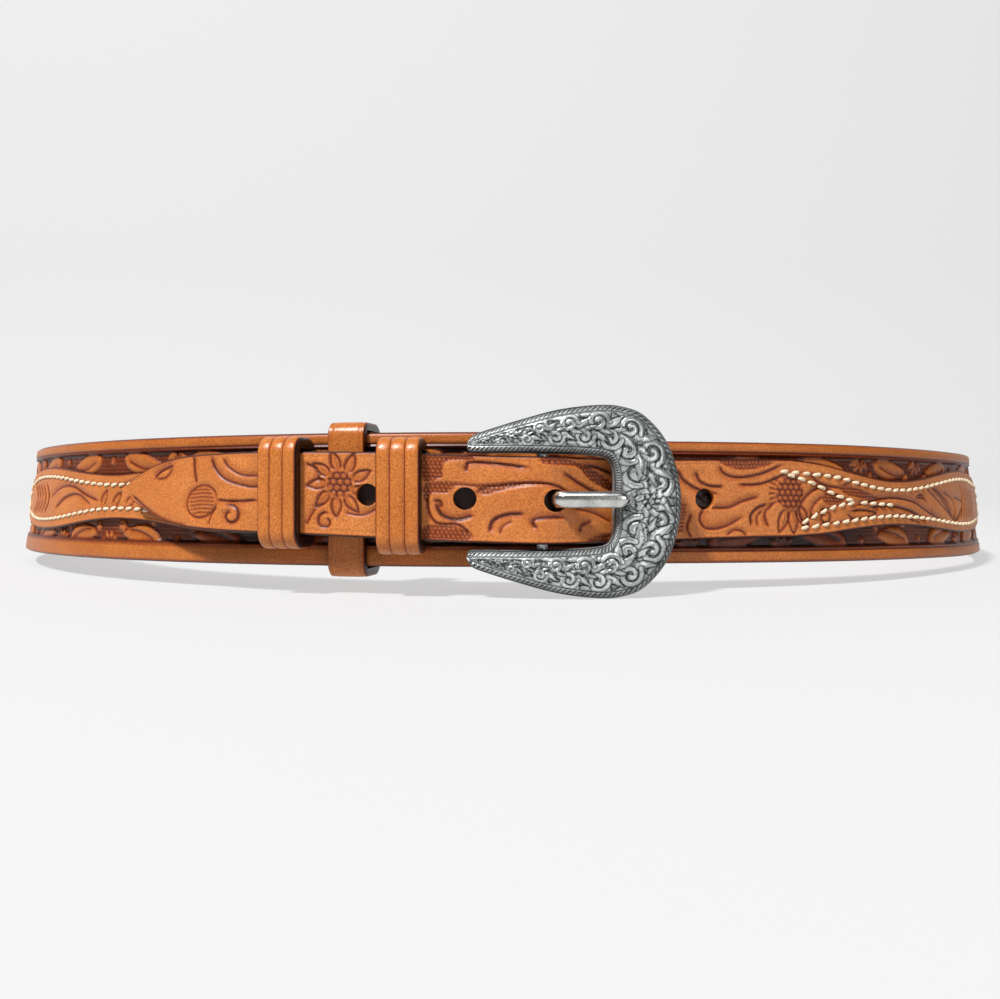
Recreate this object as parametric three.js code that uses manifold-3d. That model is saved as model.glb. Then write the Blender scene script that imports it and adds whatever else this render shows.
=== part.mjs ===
// A western tooled belt, buckled, standing on its lower edge.
// Millimetres, +Z up, the buckle at the front facing -Y.
// A place on the belt is given by three lengths: along, from the middle of the front round
// the loop towards +X; out, away from the wearer from the face of the wide strap; and up,
// from the wide strap's middle line.

import * as THREE from 'three';
import { mergeVertices } from 'three/addons/utils/BufferGeometryUtils.js';
import Module from 'manifold-3d';

const wasm = await Module();
wasm.setup();

// Clearance between pieces that lie on each other
const GAP = 0.3;

// Plan of the loop, measured to the face of the wide strap
const LOOP_HALF_WIDTH = 197.5;
const LOOP_FRONT_DEPTH = 173;
const LOOP_BACK_DEPTH = 120;
const LOOP_FACET = 11;
const BACK_FACET = 20;

// Wide strap
const BELT_WIDTH = 38;
const BELT_THICK = 3;
const BELT_BORDER = 4.2;
const BELT_FIELD_DEPTH = 0.8;
const BELT_FIELD_SLOPE = 0.4;
const BELT_EDGE = 0.7;
const BELT_SILL = 1.9;
const BELT_INNER_END = -54;
const BELT_OUTER_END = 32;

// Narrow straps
const BILLET_WIDTH = 23.8;
const BILLET_EDGE = 0.5;
const BILLET_FACET = 6;
const LONG_THICK = 2.8;
const LONG_TIP = -116.4;
const LONG_END = 219;
const LONG_POINT = 60;
const SHORT_THICK = 1.8;
const SHORT_END = -215;
const SHORT_RETURN_END = -70;
const SCALLOP_LENGTH = 130;
const SKIVED_SHARE = 0.5;

// Holes in the long strap
const HOLE_RADIUS = 3.1;
const HOLE_PITCH = 23.8;
const HOLE_SIDES = 16;

// Loops that hold the straps
const KEEPER_WALL = 2.8;
const KEEPER_BACK = 2.4;
const KEEPER_RIDGE = 0.7;
const KEEPER_CORNER = 4;
const KEEPER_CORNER_INSIDE = 0.8;
const KEEPER_SLACK = 0.7;
const KEEPER_BANDS = 3;
const RIDGED_LEFT = { at: -58.9, width: 11.2 };
const RIDGED_RIGHT = { at: -26.1, width: 11.7 };
const PLAIN = { at: -43.4, width: 11.1 };
const PLAIN_EDGE = 0.6;
const PLAIN_LOOSE_BEHIND = 4.5;

// Buckle
const FRAME_LENGTH = 57;
const FRAME_HEIGHT = 52.8;
const FRAME_AT = 19.9;
const FRAME_LOW = 0.55;
const FRAME_RISE = 5.6;
const FRAME_STATIONS = 48;
const BAR_RADIUS = 1.6;
const BAR_SHARE = -0.295;
const BAR_BEHIND_FRAME = 2.6;
const LUG_LENGTH = 4.6;
const LUG_HEIGHT = 4;
const BAR_SIDES = 16;
const TONGUE_WIDTH = 4.4;
const TONGUE_THICK = 2.2;
const TONGUE_BEND = 2.6;
const TONGUE_OVERLAP = 2.8;

// Colours, from the leather and the antique silver
const LEATHER = { color: 0xb5652f, roughness: 0.55, metalness: 0 };
const LEATHER_LIGHT = { color: 0xc9794a, roughness: 0.5, metalness: 0 };
const SILVER = { color: 0x9aa0a0, roughness: 0.35, metalness: 1 };

// How far out each layer of the front lies, worked out from the thicknesses
const SHORT_LEVEL = GAP + KEEPER_BACK + GAP;
const BAR_OUT = SHORT_LEVEL + SHORT_THICK + GAP / 2;
const FOLD_INSIDE = BAR_RADIUS + GAP;
const LONG_LEVEL = SHORT_LEVEL + 2 * SHORT_THICK + 2 * GAP;
const LONG_OVER_BAR = BAR_OUT + FOLD_INSIDE + SHORT_THICK + GAP;
const FRAME_OUT = BAR_OUT + BAR_BEHIND_FRAME;
const LONG_UNDER_FRAME = FRAME_OUT - GAP - LONG_THICK;
const ON_FIELD = GAP - BELT_FIELD_DEPTH;
const BELT_STEP = BELT_THICK + GAP;
const BAR_AT = FRAME_AT + (BAR_SHARE * FRAME_LENGTH) / 2;
const TONGUE_EYE = BAR_RADIUS + GAP + TONGUE_THICK / 2;
const HOLE_AT_TONGUE = BAR_AT + TONGUE_EYE;

// The plan of the loop: half an ellipse in front and a shallower half behind
class LoopCurve extends THREE.Curve {
  getPoint(t) {
    const angle = 2 * Math.PI * t;
    const depth = Math.cos(angle) > 0 ? LOOP_FRONT_DEPTH : LOOP_BACK_DEPTH;
    return new THREE.Vector3(LOOP_HALF_WIDTH * Math.sin(angle), -depth * Math.cos(angle), 0);
  }
}

const loop = new LoopCurve();
loop.arcLengthDivisions = 2000;
const LOOP_LENGTH = loop.getLength();

function loopFrame(along) {
  const share = THREE.MathUtils.euclideanModulo(along / LOOP_LENGTH, 1);
  const point = loop.getPointAt(share);
  const tangent = loop.getTangentAt(share);
  const outward = new THREE.Vector3(tangent.y, -tangent.x, 0);
  return { point, tangent, outward };
}

// Value of a table's column at a place, on a smooth curve through its rows
function follow(rows, column, along) {
  const last = rows.length - 1;
  if (along <= rows[0].along) {
    return rows[0][column];
  }
  if (along >= rows[last].along) {
    return rows[last][column];
  }
  const slope = (i) => {
    const a = rows[Math.max(i - 1, 0)];
    const b = rows[Math.min(i + 1, last)];
    return (b[column] - a[column]) / (b.along - a.along);
  };
  const i = rows.findIndex((row) => row.along > along) - 1;
  const span = rows[i + 1].along - rows[i].along;
  const t = (along - rows[i].along) / span;
  const t2 = t * t;
  const t3 = t2 * t;
  return (
    (2 * t3 - 3 * t2 + 1) * rows[i][column] +
    (t3 - 2 * t2 + t) * span * slope(i) +
    (3 * t2 - 2 * t3) * rows[i + 1][column] +
    (t3 - t2) * span * slope(i + 1)
  );
}

// How far the wide strap's lower edge stands out at the sides, as a slope
const LEAN = [
  { along: -0.46 * LOOP_LENGTH, slope: 0 },
  { along: -0.37 * LOOP_LENGTH, slope: 0.04 },
  { along: -0.21 * LOOP_LENGTH, slope: 0.11 },
  { along: -0.09 * LOOP_LENGTH, slope: 0.02 },
  { along: -0.045 * LOOP_LENGTH, slope: 0 },
  { along: 0.045 * LOOP_LENGTH, slope: 0 },
  { along: 0.09 * LOOP_LENGTH, slope: 0.02 },
  { along: 0.21 * LOOP_LENGTH, slope: 0.11 },
  { along: 0.37 * LOOP_LENGTH, slope: 0.04 },
  { along: 0.46 * LOOP_LENGTH, slope: 0 },
];

function onLoop(along, out, up) {
  const { point, outward } = loopFrame(along);
  const fromFront = along > LOOP_LENGTH / 2 ? along - LOOP_LENGTH : along;
  const lean = follow(LEAN, 'slope', fromFront) * up;
  return point.addScaledVector(outward, out - lean).setZ(up);
}

// Evenly spaced places from one to another, both included
function spread(from, to, spacing) {
  const count = Math.max(1, Math.round(Math.abs(to - from) / spacing));
  return Array.from({ length: count + 1 }, (_, i) => from + ((to - from) * i) / count);
}

function withoutRepeats(places) {
  return places.filter((place, i) => i === 0 || Math.abs(place - places[i - 1]) > 0.001);
}

// Keeps only the positions and joins those that coincide, so that the surface is closed
function closed(geometry) {
  geometry.deleteAttribute('normal');
  geometry.deleteAttribute('uv');
  return mergeVertices(geometry, 1e-5);
}

// Extrudes a section through numbered stations and moves each of its points by place
function sweep(section, stationCount, place) {
  const steps = stationCount - 1;
  const geometry = new THREE.ExtrudeGeometry(section, { depth: steps, steps, bevelEnabled: false });
  const positions = geometry.attributes.position;
  for (let i = 0; i < positions.count; i += 1) {
    const station = Math.round(positions.getZ(i));
    const moved = place(station, positions.getX(i), positions.getY(i));
    positions.setXYZ(i, moved.x, moved.y, moved.z);
  }
  return closed(geometry);
}

function toManifold(geometry) {
  const vertProperties = new Float32Array(geometry.attributes.position.array);
  const triVerts = new Uint32Array(geometry.index.array);
  return new wasm.Manifold(new wasm.Mesh({ numProp: 3, vertProperties, triVerts }));
}

function fromManifold(manifold) {
  const mesh = manifold.getMesh();
  const geometry = new THREE.BufferGeometry();
  geometry.setAttribute('position', new THREE.BufferAttribute(mesh.vertProperties, 3));
  geometry.setIndex(new THREE.BufferAttribute(mesh.triVerts, 1));
  return geometry;
}

function piece(name, geometry, look) {
  geometry.computeVertexNormals();
  const mesh = new THREE.Mesh(geometry, new THREE.MeshStandardMaterial(look));
  mesh.name = name;
  return mesh;
}

// Sections are drawn with x up and y out
function polygon(points) {
  return new THREE.Shape(points.map(([up, out]) => new THREE.Vector2(up, out)));
}

// Turns a shape so that its x runs along the loop and its y towards the wearer, and places it
function settle(geometry, along, out, up) {
  const { tangent, outward } = loopFrame(along);
  const turn = new THREE.Matrix4().makeBasis(tangent, outward.negate(), new THREE.Vector3(0, 0, 1));
  turn.setPosition(onLoop(along, out, up));
  return closed(geometry.applyMatrix4(turn));
}

// A round pin whose axis points out
function outwardPin(radius, length, sides, along, out, up) {
  return settle(new THREE.CylinderGeometry(radius, radius, length, sides), along, out, up);
}

function block(size, along, out, up) {
  return settle(new THREE.BoxGeometry(size.along, size.out, size.up), along, out, up);
}

// The right end of the wide strap runs behind the left one, a little narrower and lower;
// sill is how much wider its lower border is, in shares of the left end's
const BELT_RUN = [
  { along: BELT_OUTER_END + 18, out: -BELT_STEP, width: 0.932, lift: -0.022, sill: 0.35 },
  { along: BELT_OUTER_END + 48, out: -BELT_STEP / 2, width: 0.938, lift: -0.024, sill: 0.35 },
  { along: BELT_OUTER_END + 78, out: 0, width: 0.944, lift: -0.028, sill: 0.35 },
  { along: BELT_OUTER_END + 118, out: 0, width: 0.952, lift: -0.036, sill: 0.35 },
  { along: BELT_OUTER_END + 158, out: 0, width: 0.965, lift: -0.044, sill: 0.35 },
  { along: BELT_OUTER_END + 208, out: 0, width: 0.98, lift: -0.036, sill: 0.35 },
  { along: BELT_OUTER_END + 308, out: 0, width: 1, lift: 0, sill: 0.35 },
  { along: LOOP_LENGTH / 2, out: 0, width: 1, lift: 0, sill: 0 },
  { along: 0.75 * LOOP_LENGTH, out: 0, width: 1, lift: 0, sill: 1 },
  { along: LOOP_LENGTH, out: 0, width: 1, lift: 0, sill: 1 },
];

function beltSection() {
  const half = BELT_WIDTH / 2;
  const field = half - BELT_BORDER;
  const side = [
    [half - BELT_EDGE, -BELT_THICK],
    [half, -BELT_THICK + BELT_EDGE],
    [half, -BELT_EDGE],
    [half - BELT_EDGE, 0],
    [field, 0],
    [field - BELT_FIELD_SLOPE, -BELT_FIELD_DEPTH],
  ];
  const mirrored = side.map(([up, out]) => [-up, out]).reverse();
  return polygon([...side, ...mirrored]);
}

function beltBody() {
  const backStart = LOOP_LENGTH / 2 - BACK_FACET / 2;
  const places = withoutRepeats([
    ...spread(BELT_INNER_END, 0, LOOP_FACET),
    ...spread(0, backStart, LOOP_FACET),
    ...spread(LOOP_LENGTH - backStart, LOOP_LENGTH, LOOP_FACET),
    ...spread(LOOP_LENGTH, LOOP_LENGTH + BELT_OUTER_END, LOOP_FACET),
  ]);
  const geometry = sweep(beltSection(), places.length, (station, up, out) => {
    const along = places[station];
    const width = follow(BELT_RUN, 'width', along);
    const lift = follow(BELT_RUN, 'lift', along) * BELT_WIDTH;
    const isSill = up < 0 && up > -BELT_WIDTH / 2 + 2 * BELT_EDGE;
    const sill = isSill ? follow(BELT_RUN, 'sill', along) * BELT_SILL : 0;
    return onLoop(along, follow(BELT_RUN, 'out', along) + out, (up + sill) * width + lift);
  });
  return piece('belt_body', geometry, LEATHER);
}

// A strap's section: y from its back, at 0, to its face
function strapSection(thick) {
  const half = BILLET_WIDTH / 2;
  return polygon([
    [-half, 0],
    [half, 0],
    [half, thick - BILLET_EDGE],
    [half - BILLET_EDGE, thick],
    [-half + BILLET_EDGE, thick],
    [-half, thick - BILLET_EDGE],
  ]);
}

// Sweeps a strap along stations that give its back's along and out, its lift, its width and
// its thickness as a share of the full one
function strap(stations, thick) {
  return sweep(strapSection(thick), stations.length, (k, up, depth) => {
    const before = stations[Math.max(k - 1, 0)];
    const after = stations[Math.min(k + 1, stations.length - 1)];
    const run = new THREE.Vector2(after.along - before.along, after.out - before.out).normalize();
    const here = stations[k];
    const along = here.along - run.y * depth * here.thick;
    const out = here.out + run.x * depth * here.thick;
    return onLoop(along, out, up * here.width + here.lift);
  });
}

// The scalloped ends are cut thinner towards their tips
function skived(fromTip) {
  return SKIVED_SHARE + (1 - SKIVED_SHARE) * THREE.MathUtils.smoothstep(fromTip, 0, SCALLOP_LENGTH);
}

// Width of a scalloped end, as shares of its length from the tip and of the strap's width
const SCALLOP = [
  { along: 0, width: 0.3 },
  { along: 0.025, width: 0.52 },
  { along: 0.07, width: 0.72 },
  { along: 0.14, width: 0.85 },
  { along: 0.22, width: 0.9 },
  { along: 0.3, width: 0.9 },
  { along: 0.38, width: 0.85 },
  { along: 0.46, width: 0.76 },
  { along: 0.54, width: 0.67 },
  { along: 0.62, width: 0.61 },
  { along: 0.69, width: 0.6 },
  { along: 0.76, width: 0.66 },
  { along: 0.84, width: 0.78 },
  { along: 0.92, width: 0.92 },
  { along: 1, width: 1 },
];

function scallopWidth(fromTip) {
  return follow(SCALLOP, 'width', fromTip / SCALLOP_LENGTH);
}

function scallopPlaces() {
  return SCALLOP.map((row) => row.along * SCALLOP_LENGTH);
}

// Width of the pointed tip, as shares of its length and of the strap's width
const POINT = [
  { along: 0, width: 0.13 },
  { along: 0.04, width: 0.28 },
  { along: 0.12, width: 0.48 },
  { along: 0.22, width: 0.69 },
  { along: 0.32, width: 0.82 },
  { along: 0.43, width: 0.91 },
  { along: 0.7, width: 0.98 },
  { along: 1, width: 1 },
];

// How the two narrow straps lie above the middle line and how their width changes, in
// shares of it
const LIFT = [
  { along: SHORT_END, long: 0.13, short: 0.01, width: 1 },
  { along: SHORT_END + 0.7 * SCALLOP_LENGTH, long: 0.13, short: 0.04, width: 1 },
  { along: LONG_TIP, long: 0.13, short: 0.045, width: 0.97 },
  { along: 0.8 * LONG_TIP, long: 0.1, short: 0.06, width: 0.96 },
  { along: RIDGED_LEFT.at, long: 0.08, short: 0.08, width: 0.97 },
  { along: RIDGED_RIGHT.at, long: 0.042, short: 0.042, width: 1 },
  { along: 0.6 * RIDGED_RIGHT.at, long: 0.02, short: 0.02, width: 1 },
  { along: BAR_AT, long: -0.012, short: -0.012, width: 1 },
  { along: FRAME_AT + FRAME_LENGTH / 2, long: -0.004, short: 0, width: 0.98 },
  { along: LONG_END - SCALLOP_LENGTH, long: 0.015, short: 0, width: 0.97 },
  { along: LONG_END - 0.67 * SCALLOP_LENGTH, long: -0.047, short: 0, width: 0.99 },
  { along: LONG_END - 0.35 * SCALLOP_LENGTH, long: -0.027, short: 0, width: 1 },
  { along: LONG_END, long: -0.034, short: 0, width: 1 },
];

function liftOf(strapName, along) {
  return follow(LIFT, strapName, along) * BILLET_WIDTH;
}

// The long strap's back: down at the tip, over the bar, under the frame, on the wide strap
const FRAME_INSIDE = FRAME_AT + 0.08 * FRAME_LENGTH;
const LONG_RUN = [
  { along: LONG_TIP, out: 0.46 * LONG_LEVEL },
  { along: 0.82 * LONG_TIP, out: 0.67 * LONG_LEVEL },
  { along: 0.7 * LONG_TIP, out: 0.93 * LONG_LEVEL },
  { along: 0.64 * LONG_TIP, out: LONG_LEVEL },
  { along: RIDGED_LEFT.at, out: LONG_LEVEL },
  { along: RIDGED_RIGHT.at, out: LONG_LEVEL },
  { along: RIDGED_RIGHT.at + RIDGED_RIGHT.width, out: LONG_LEVEL },
  { along: BAR_AT - 8, out: LONG_LEVEL + 0.4 * (LONG_OVER_BAR - LONG_LEVEL) },
  { along: BAR_AT - 1.5, out: LONG_OVER_BAR },
  { along: BAR_AT + 3, out: LONG_OVER_BAR - 0.2 },
  { along: FRAME_INSIDE, out: LONG_UNDER_FRAME },
  { along: FRAME_INSIDE + 5, out: LONG_UNDER_FRAME - 1.8 },
  { along: BELT_OUTER_END + 6, out: 0.6 - BELT_FIELD_DEPTH + GAP },
  { along: BELT_OUTER_END + 16, out: ON_FIELD - 0.75 * BELT_STEP },
];
const LONG_REST = BELT_OUTER_END + 24;

function longOut(along) {
  const onBelt = follow(BELT_RUN, 'out', along) + ON_FIELD;
  const hung = follow(LONG_RUN, 'out', along);
  const share = THREE.MathUtils.smoothstep(along, LONG_REST - 10, LONG_REST);
  return hung * (1 - share) + onBelt * share;
}

function longWidth(along) {
  const point = follow(POINT, 'width', (along - LONG_TIP) / LONG_POINT);
  return Math.min(point, scallopWidth(LONG_END - along));
}

// Places of the holes, counted in pitches from the one that the tongue goes through
const HOLES = [-2.08, -0.99, 0, 0.96, 1.92];

function billetLong() {
  const places = withoutRepeats([
    ...POINT.map((row) => LONG_TIP + row.along * LONG_POINT),
    ...spread(LONG_TIP + LONG_POINT, BAR_AT - 8, BILLET_FACET),
    ...spread(BAR_AT - 8, LONG_REST, BILLET_FACET / 2),
    ...spread(LONG_REST, LONG_END - SCALLOP_LENGTH, BILLET_FACET),
    ...scallopPlaces().reverse().map((fromTip) => LONG_END - fromTip),
  ]);
  const stations = places.map((along) => ({
    along,
    out: longOut(along),
    lift: liftOf('long', along),
    width: longWidth(along) * follow(LIFT, 'width', along),
    thick: skived(LONG_END - along),
  }));
  let solid = toManifold(strap(stations, LONG_THICK));
  for (const count of HOLES) {
    const along = HOLE_AT_TONGUE + count * HOLE_PITCH;
    const out = longOut(along) + LONG_THICK / 2;
    const length = 4 * LONG_THICK;
    solid = solid.subtract(
      toManifold(outwardPin(HOLE_RADIUS, length, HOLE_SIDES, along, out, liftOf('long', along))),
    );
  }
  return piece('billet_long', fromManifold(solid), LEATHER_LIGHT);
}

// The short strap's upper layer: on the wide strap at its end, then up to the keepers' level
const SHORT_TOP = BAR_OUT + GAP / 2;
const RISE_FROM = SHORT_END + SCALLOP_LENGTH;
const RISE_LENGTH = SHORT_RETURN_END - 3 - RISE_FROM;
const SHORT_RISE = [
  { along: 0, out: 0 },
  { along: 0.25, out: 0.1 },
  { along: 0.5, out: 0.5 },
  { along: 0.75, out: 0.9 },
  { along: 1, out: 1 },
];

function shortOut(along) {
  const share = follow(SHORT_RISE, 'out', (along - RISE_FROM) / RISE_LENGTH);
  return ON_FIELD + share * (SHORT_TOP - ON_FIELD);
}

// The fold about the bar, in shares of its inside radius, from the upper layer to the top
const FOLD = [
  { before: 3.4, out: 0.25 },
  { before: 1.7, out: 0.72 },
];
const FOLD_STEPS = 8;
const FOLD_FROM = THREE.MathUtils.degToRad(120);

function foldStations() {
  const sides = FOLD.map((row) => [-row.before * FOLD_INSIDE, row.out * FOLD_INSIDE]);
  const round = spread(FOLD_FROM, -FOLD_FROM, (2 * FOLD_FROM) / FOLD_STEPS).map((angle) => [
    FOLD_INSIDE * Math.cos(angle),
    FOLD_INSIDE * Math.sin(angle),
  ]);
  const back = sides.map(([along, out]) => [along, -out]).reverse();
  return [...sides, ...round, ...back].map(([along, out]) => ({
    along: BAR_AT + along,
    out: BAR_OUT + out,
    lift: liftOf('short', BAR_AT),
    width: 1,
    thick: 1,
  }));
}

function billetShort() {
  const topPlaces = withoutRepeats([
    ...scallopPlaces().map((fromTip) => SHORT_END + fromTip),
    ...spread(RISE_FROM, SHORT_RETURN_END, BILLET_FACET / 2),
    ...spread(SHORT_RETURN_END, BAR_AT - 10, BILLET_FACET),
  ]);
  const top = topPlaces.map((along) => ({
    along,
    out: shortOut(along),
    lift: liftOf('short', along),
    width: scallopWidth(along - SHORT_END) * follow(LIFT, 'width', along),
    thick: skived(along - SHORT_END),
  }));
  const under = spread(BAR_AT - 10, SHORT_RETURN_END, BILLET_FACET).map((along) => ({
    along,
    out: BAR_OUT - GAP / 2,
    lift: liftOf('short', along),
    width: follow(LIFT, 'width', along),
    thick: 1,
  }));
  const solid = toManifold(strap([...top, ...foldStations(), ...under], SHORT_THICK));
  const reach = BAR_RADIUS + GAP + TONGUE_THICK;
  const slot = {
    along: 2 * (reach + SHORT_THICK + GAP),
    out: 2 * (reach + SHORT_THICK),
    up: TONGUE_WIDTH + 2 * GAP,
  };
  const cut = toManifold(block(slot, BAR_AT, BAR_OUT, 0));
  return piece('billet_short', fromManifold(solid.subtract(cut)), LEATHER_LIGHT);
}

// Rounded rectangle about the origin, x up and y out
function roundedRectangle(path, halfUp, halfOut, corner) {
  const quarter = Math.PI / 2;
  path.absarc(halfUp - corner, halfOut - corner, corner, 0, quarter);
  path.absarc(-halfUp + corner, halfOut - corner, corner, quarter, 2 * quarter);
  path.absarc(-halfUp + corner, -halfOut + corner, corner, 2 * quarter, 3 * quarter);
  path.absarc(halfUp - corner, -halfOut + corner, corner, 3 * quarter, 4 * quarter);
  path.closePath();
  return path;
}

// A loop of leather: its hollow reaches from inner to outer and halfUp each way from lift
function keeper({ at, width, wall, inner, outer, halfUp, lift, profile }) {
  const halfOut = (outer - inner) / 2;
  const middle = (outer + inner) / 2;
  const inside = KEEPER_CORNER_INSIDE;
  const outside = KEEPER_CORNER;
  const shape = roundedRectangle(new THREE.Shape(), halfUp + wall, halfOut + wall, outside);
  shape.holes.push(roundedRectangle(new THREE.Path(), halfUp, halfOut, inside));
  const coreUp = halfUp + wall - outside;
  const coreOut = halfOut + wall - outside;
  const steps = profile.length - 1;
  const geometry = new THREE.ExtrudeGeometry(shape, {
    depth: steps,
    steps,
    bevelEnabled: false,
    curveSegments: 3,
  });
  const positions = geometry.attributes.position;
  for (let i = 0; i < positions.count; i += 1) {
    const row = profile[Math.round(positions.getZ(i))];
    const section = new THREE.Vector2(positions.getX(i), positions.getY(i));
    const isOuter = Math.abs(section.x) > halfUp + 0.01 || Math.abs(section.y) > halfOut + 0.01;
    if (isOuter) {
      const core = new THREE.Vector2(
        THREE.MathUtils.clamp(section.x, -coreUp, coreUp),
        THREE.MathUtils.clamp(section.y, -coreOut, coreOut),
      );
      section.addScaledVector(section.clone().sub(core).normalize(), row.rise);
      section.y = Math.max(section.y, -halfOut - wall);
    }
    const place = onLoop(at + (row.along - 0.5) * width, middle + section.y, lift + section.x);
    positions.setXYZ(i, place.x, place.y, place.z);
  }
  return closed(geometry);
}

// Raised bands across a keeper's width, with a groove between two neighbours
function ridges() {
  const band = 1 / KEEPER_BANDS;
  const rows = [];
  for (let i = 0; i < KEEPER_BANDS; i += 1) {
    rows.push({ along: (i + 0.05) * band, rise: 0 });
    rows.push({ along: (i + 0.22) * band, rise: KEEPER_RIDGE });
    rows.push({ along: (i + 0.78) * band, rise: KEEPER_RIDGE });
    rows.push({ along: (i + 0.95) * band, rise: 0 });
  }
  return rows;
}

function ridgedKeeper(name, place) {
  const geometry = keeper({
    ...place,
    wall: KEEPER_BACK,
    inner: GAP + KEEPER_BACK,
    outer: LONG_LEVEL + LONG_THICK + GAP,
    halfUp: (follow(LIFT, 'width', place.at) * BILLET_WIDTH) / 2 + KEEPER_SLACK,
    lift: liftOf('long', place.at),
    profile: ridges().map((row) => ({ ...row, rise: row.rise + KEEPER_WALL - KEEPER_BACK })),
  });
  return piece(name, geometry, LEATHER_LIGHT);
}

function plainKeeper() {
  const edge = PLAIN_EDGE / PLAIN.width;
  const geometry = keeper({
    ...PLAIN,
    wall: KEEPER_BACK,
    inner: -BELT_STEP - BELT_THICK - GAP - PLAIN_LOOSE_BEHIND,
    outer: GAP,
    halfUp: BELT_WIDTH / 2 + KEEPER_SLACK,
    lift: 0,
    profile: [
      { along: 0, rise: -PLAIN_EDGE },
      { along: edge, rise: 0 },
      { along: 1 - edge, rise: 0 },
      { along: 1, rise: -PLAIN_EDGE },
    ],
  });
  return piece('keeper_plain', geometry, LEATHER_LIGHT);
}

// One half of the horseshoe from its tip to its middle: both edges in shares of the
// frame's half length and half height, and the dome's rise in shares of the full rise
const HORSESHOE = [
  { outerAlong: -1, outerUp: 0.6, innerAlong: -1, innerUp: 0.545, rise: 0.45 },
  { outerAlong: -0.965, outerUp: 0.66, innerAlong: -0.975, innerUp: 0.505, rise: 0.6 },
  { outerAlong: -0.88, outerUp: 0.712, innerAlong: -0.88, innerUp: 0.497, rise: 0.7 },
  { outerAlong: -0.515, outerUp: 0.841, innerAlong: -0.515, innerUp: 0.498, rise: 0.88 },
  { outerAlong: -0.147, outerUp: 0.95, innerAlong: -0.147, innerUp: 0.49, rise: 0.98 },
  { outerAlong: 0.221, outerUp: 1, innerAlong: 0.12, innerUp: 0.478, rise: 1 },
  { outerAlong: 0.45, outerUp: 0.98, innerAlong: 0.28, innerUp: 0.448, rise: 1 },
  { outerAlong: 0.64, outerUp: 0.895, innerAlong: 0.332, innerUp: 0.375, rise: 1 },
  { outerAlong: 0.84, outerUp: 0.66, innerAlong: 0.351, innerUp: 0.26, rise: 1 },
  { outerAlong: 0.96, outerUp: 0.34, innerAlong: 0.353, innerUp: 0.13, rise: 1 },
];
const HORSESHOE_MIDDLE = {
  outerAlong: 1, outerUp: 0, innerAlong: 0.353, innerUp: 0, rise: 1,
};

// The frame's section: x from the inner edge, at -1, to the outer edge, y in shares of its rise
const DOME = [
  [-1, 0],
  [-1, 0.45],
  [-0.86, 0.64],
  [-0.5, 0.88],
  [0, 1],
  [0.5, 0.88],
  [0.86, 0.64],
  [1, 0.45],
  [1, 0],
];

function horseshoeRows() {
  const upper = HORSESHOE;
  const lower = HORSESHOE.map((row) => ({
    ...row,
    outerUp: -row.outerUp,
    innerUp: -row.innerUp,
  })).reverse();
  return [...upper, HORSESHOE_MIDDLE, ...lower];
}

function edgeCurve(rows, side) {
  const points = rows.map((row) => new THREE.Vector3(row[`${side}Along`], row[`${side}Up`], row.rise));
  return new THREE.CatmullRomCurve3(points, false, 'catmullrom', 0.5);
}

function buckleFrame() {
  const rows = horseshoeRows();
  const outer = edgeCurve(rows, 'outer').getPoints(FRAME_STATIONS);
  const inner = edgeCurve(rows, 'inner').getPoints(FRAME_STATIONS);
  const domed = sweep(polygon(DOME), outer.length, (station, across, height) => {
    const spot = inner[station].clone().lerp(outer[station], (across + 1) / 2);
    return onLoop(
      FRAME_AT + (spot.x * FRAME_LENGTH) / 2,
      FRAME_OUT + height * spot.z * FRAME_RISE,
      (spot.y * FRAME_HEIGHT) / 2 - FRAME_LOW,
    );
  });
  let solid = toManifold(domed);
  const opening = (HORSESHOE[4].innerUp * FRAME_HEIGHT) / 2;
  const lugUp = opening + GAP + LUG_HEIGHT / 2;
  const lugReach = FRAME_OUT + 0.2 * FRAME_RISE - BAR_OUT + BAR_RADIUS + GAP;
  const lug = { along: LUG_LENGTH, out: lugReach, up: LUG_HEIGHT };
  const lugOut = BAR_OUT - BAR_RADIUS - GAP + lugReach / 2;
  for (const side of [1, -1]) {
    solid = solid.add(toManifold(block(lug, BAR_AT, lugOut, side * lugUp - FRAME_LOW)));
  }
  const bar = new THREE.CylinderGeometry(BAR_RADIUS, BAR_RADIUS, 2 * lugUp, BAR_SIDES);
  bar.rotateX(Math.PI / 2);
  const middle = onLoop(BAR_AT, BAR_OUT, -FRAME_LOW);
  bar.translate(middle.x, middle.y, middle.z);
  return piece('buckle_frame', fromManifold(solid.add(toManifold(closed(bar)))), SILVER);
}

// The tongue's section: x up, y from its back to its faceted face
function tongueSection() {
  const half = TONGUE_WIDTH / 2;
  const thick = TONGUE_THICK / 2;
  return polygon([
    [-half, -thick],
    [half, -thick],
    [half, 0.1 * thick],
    [0.45 * half, thick],
    [-0.45 * half, thick],
    [-half, 0.1 * thick],
  ]);
}

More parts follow.
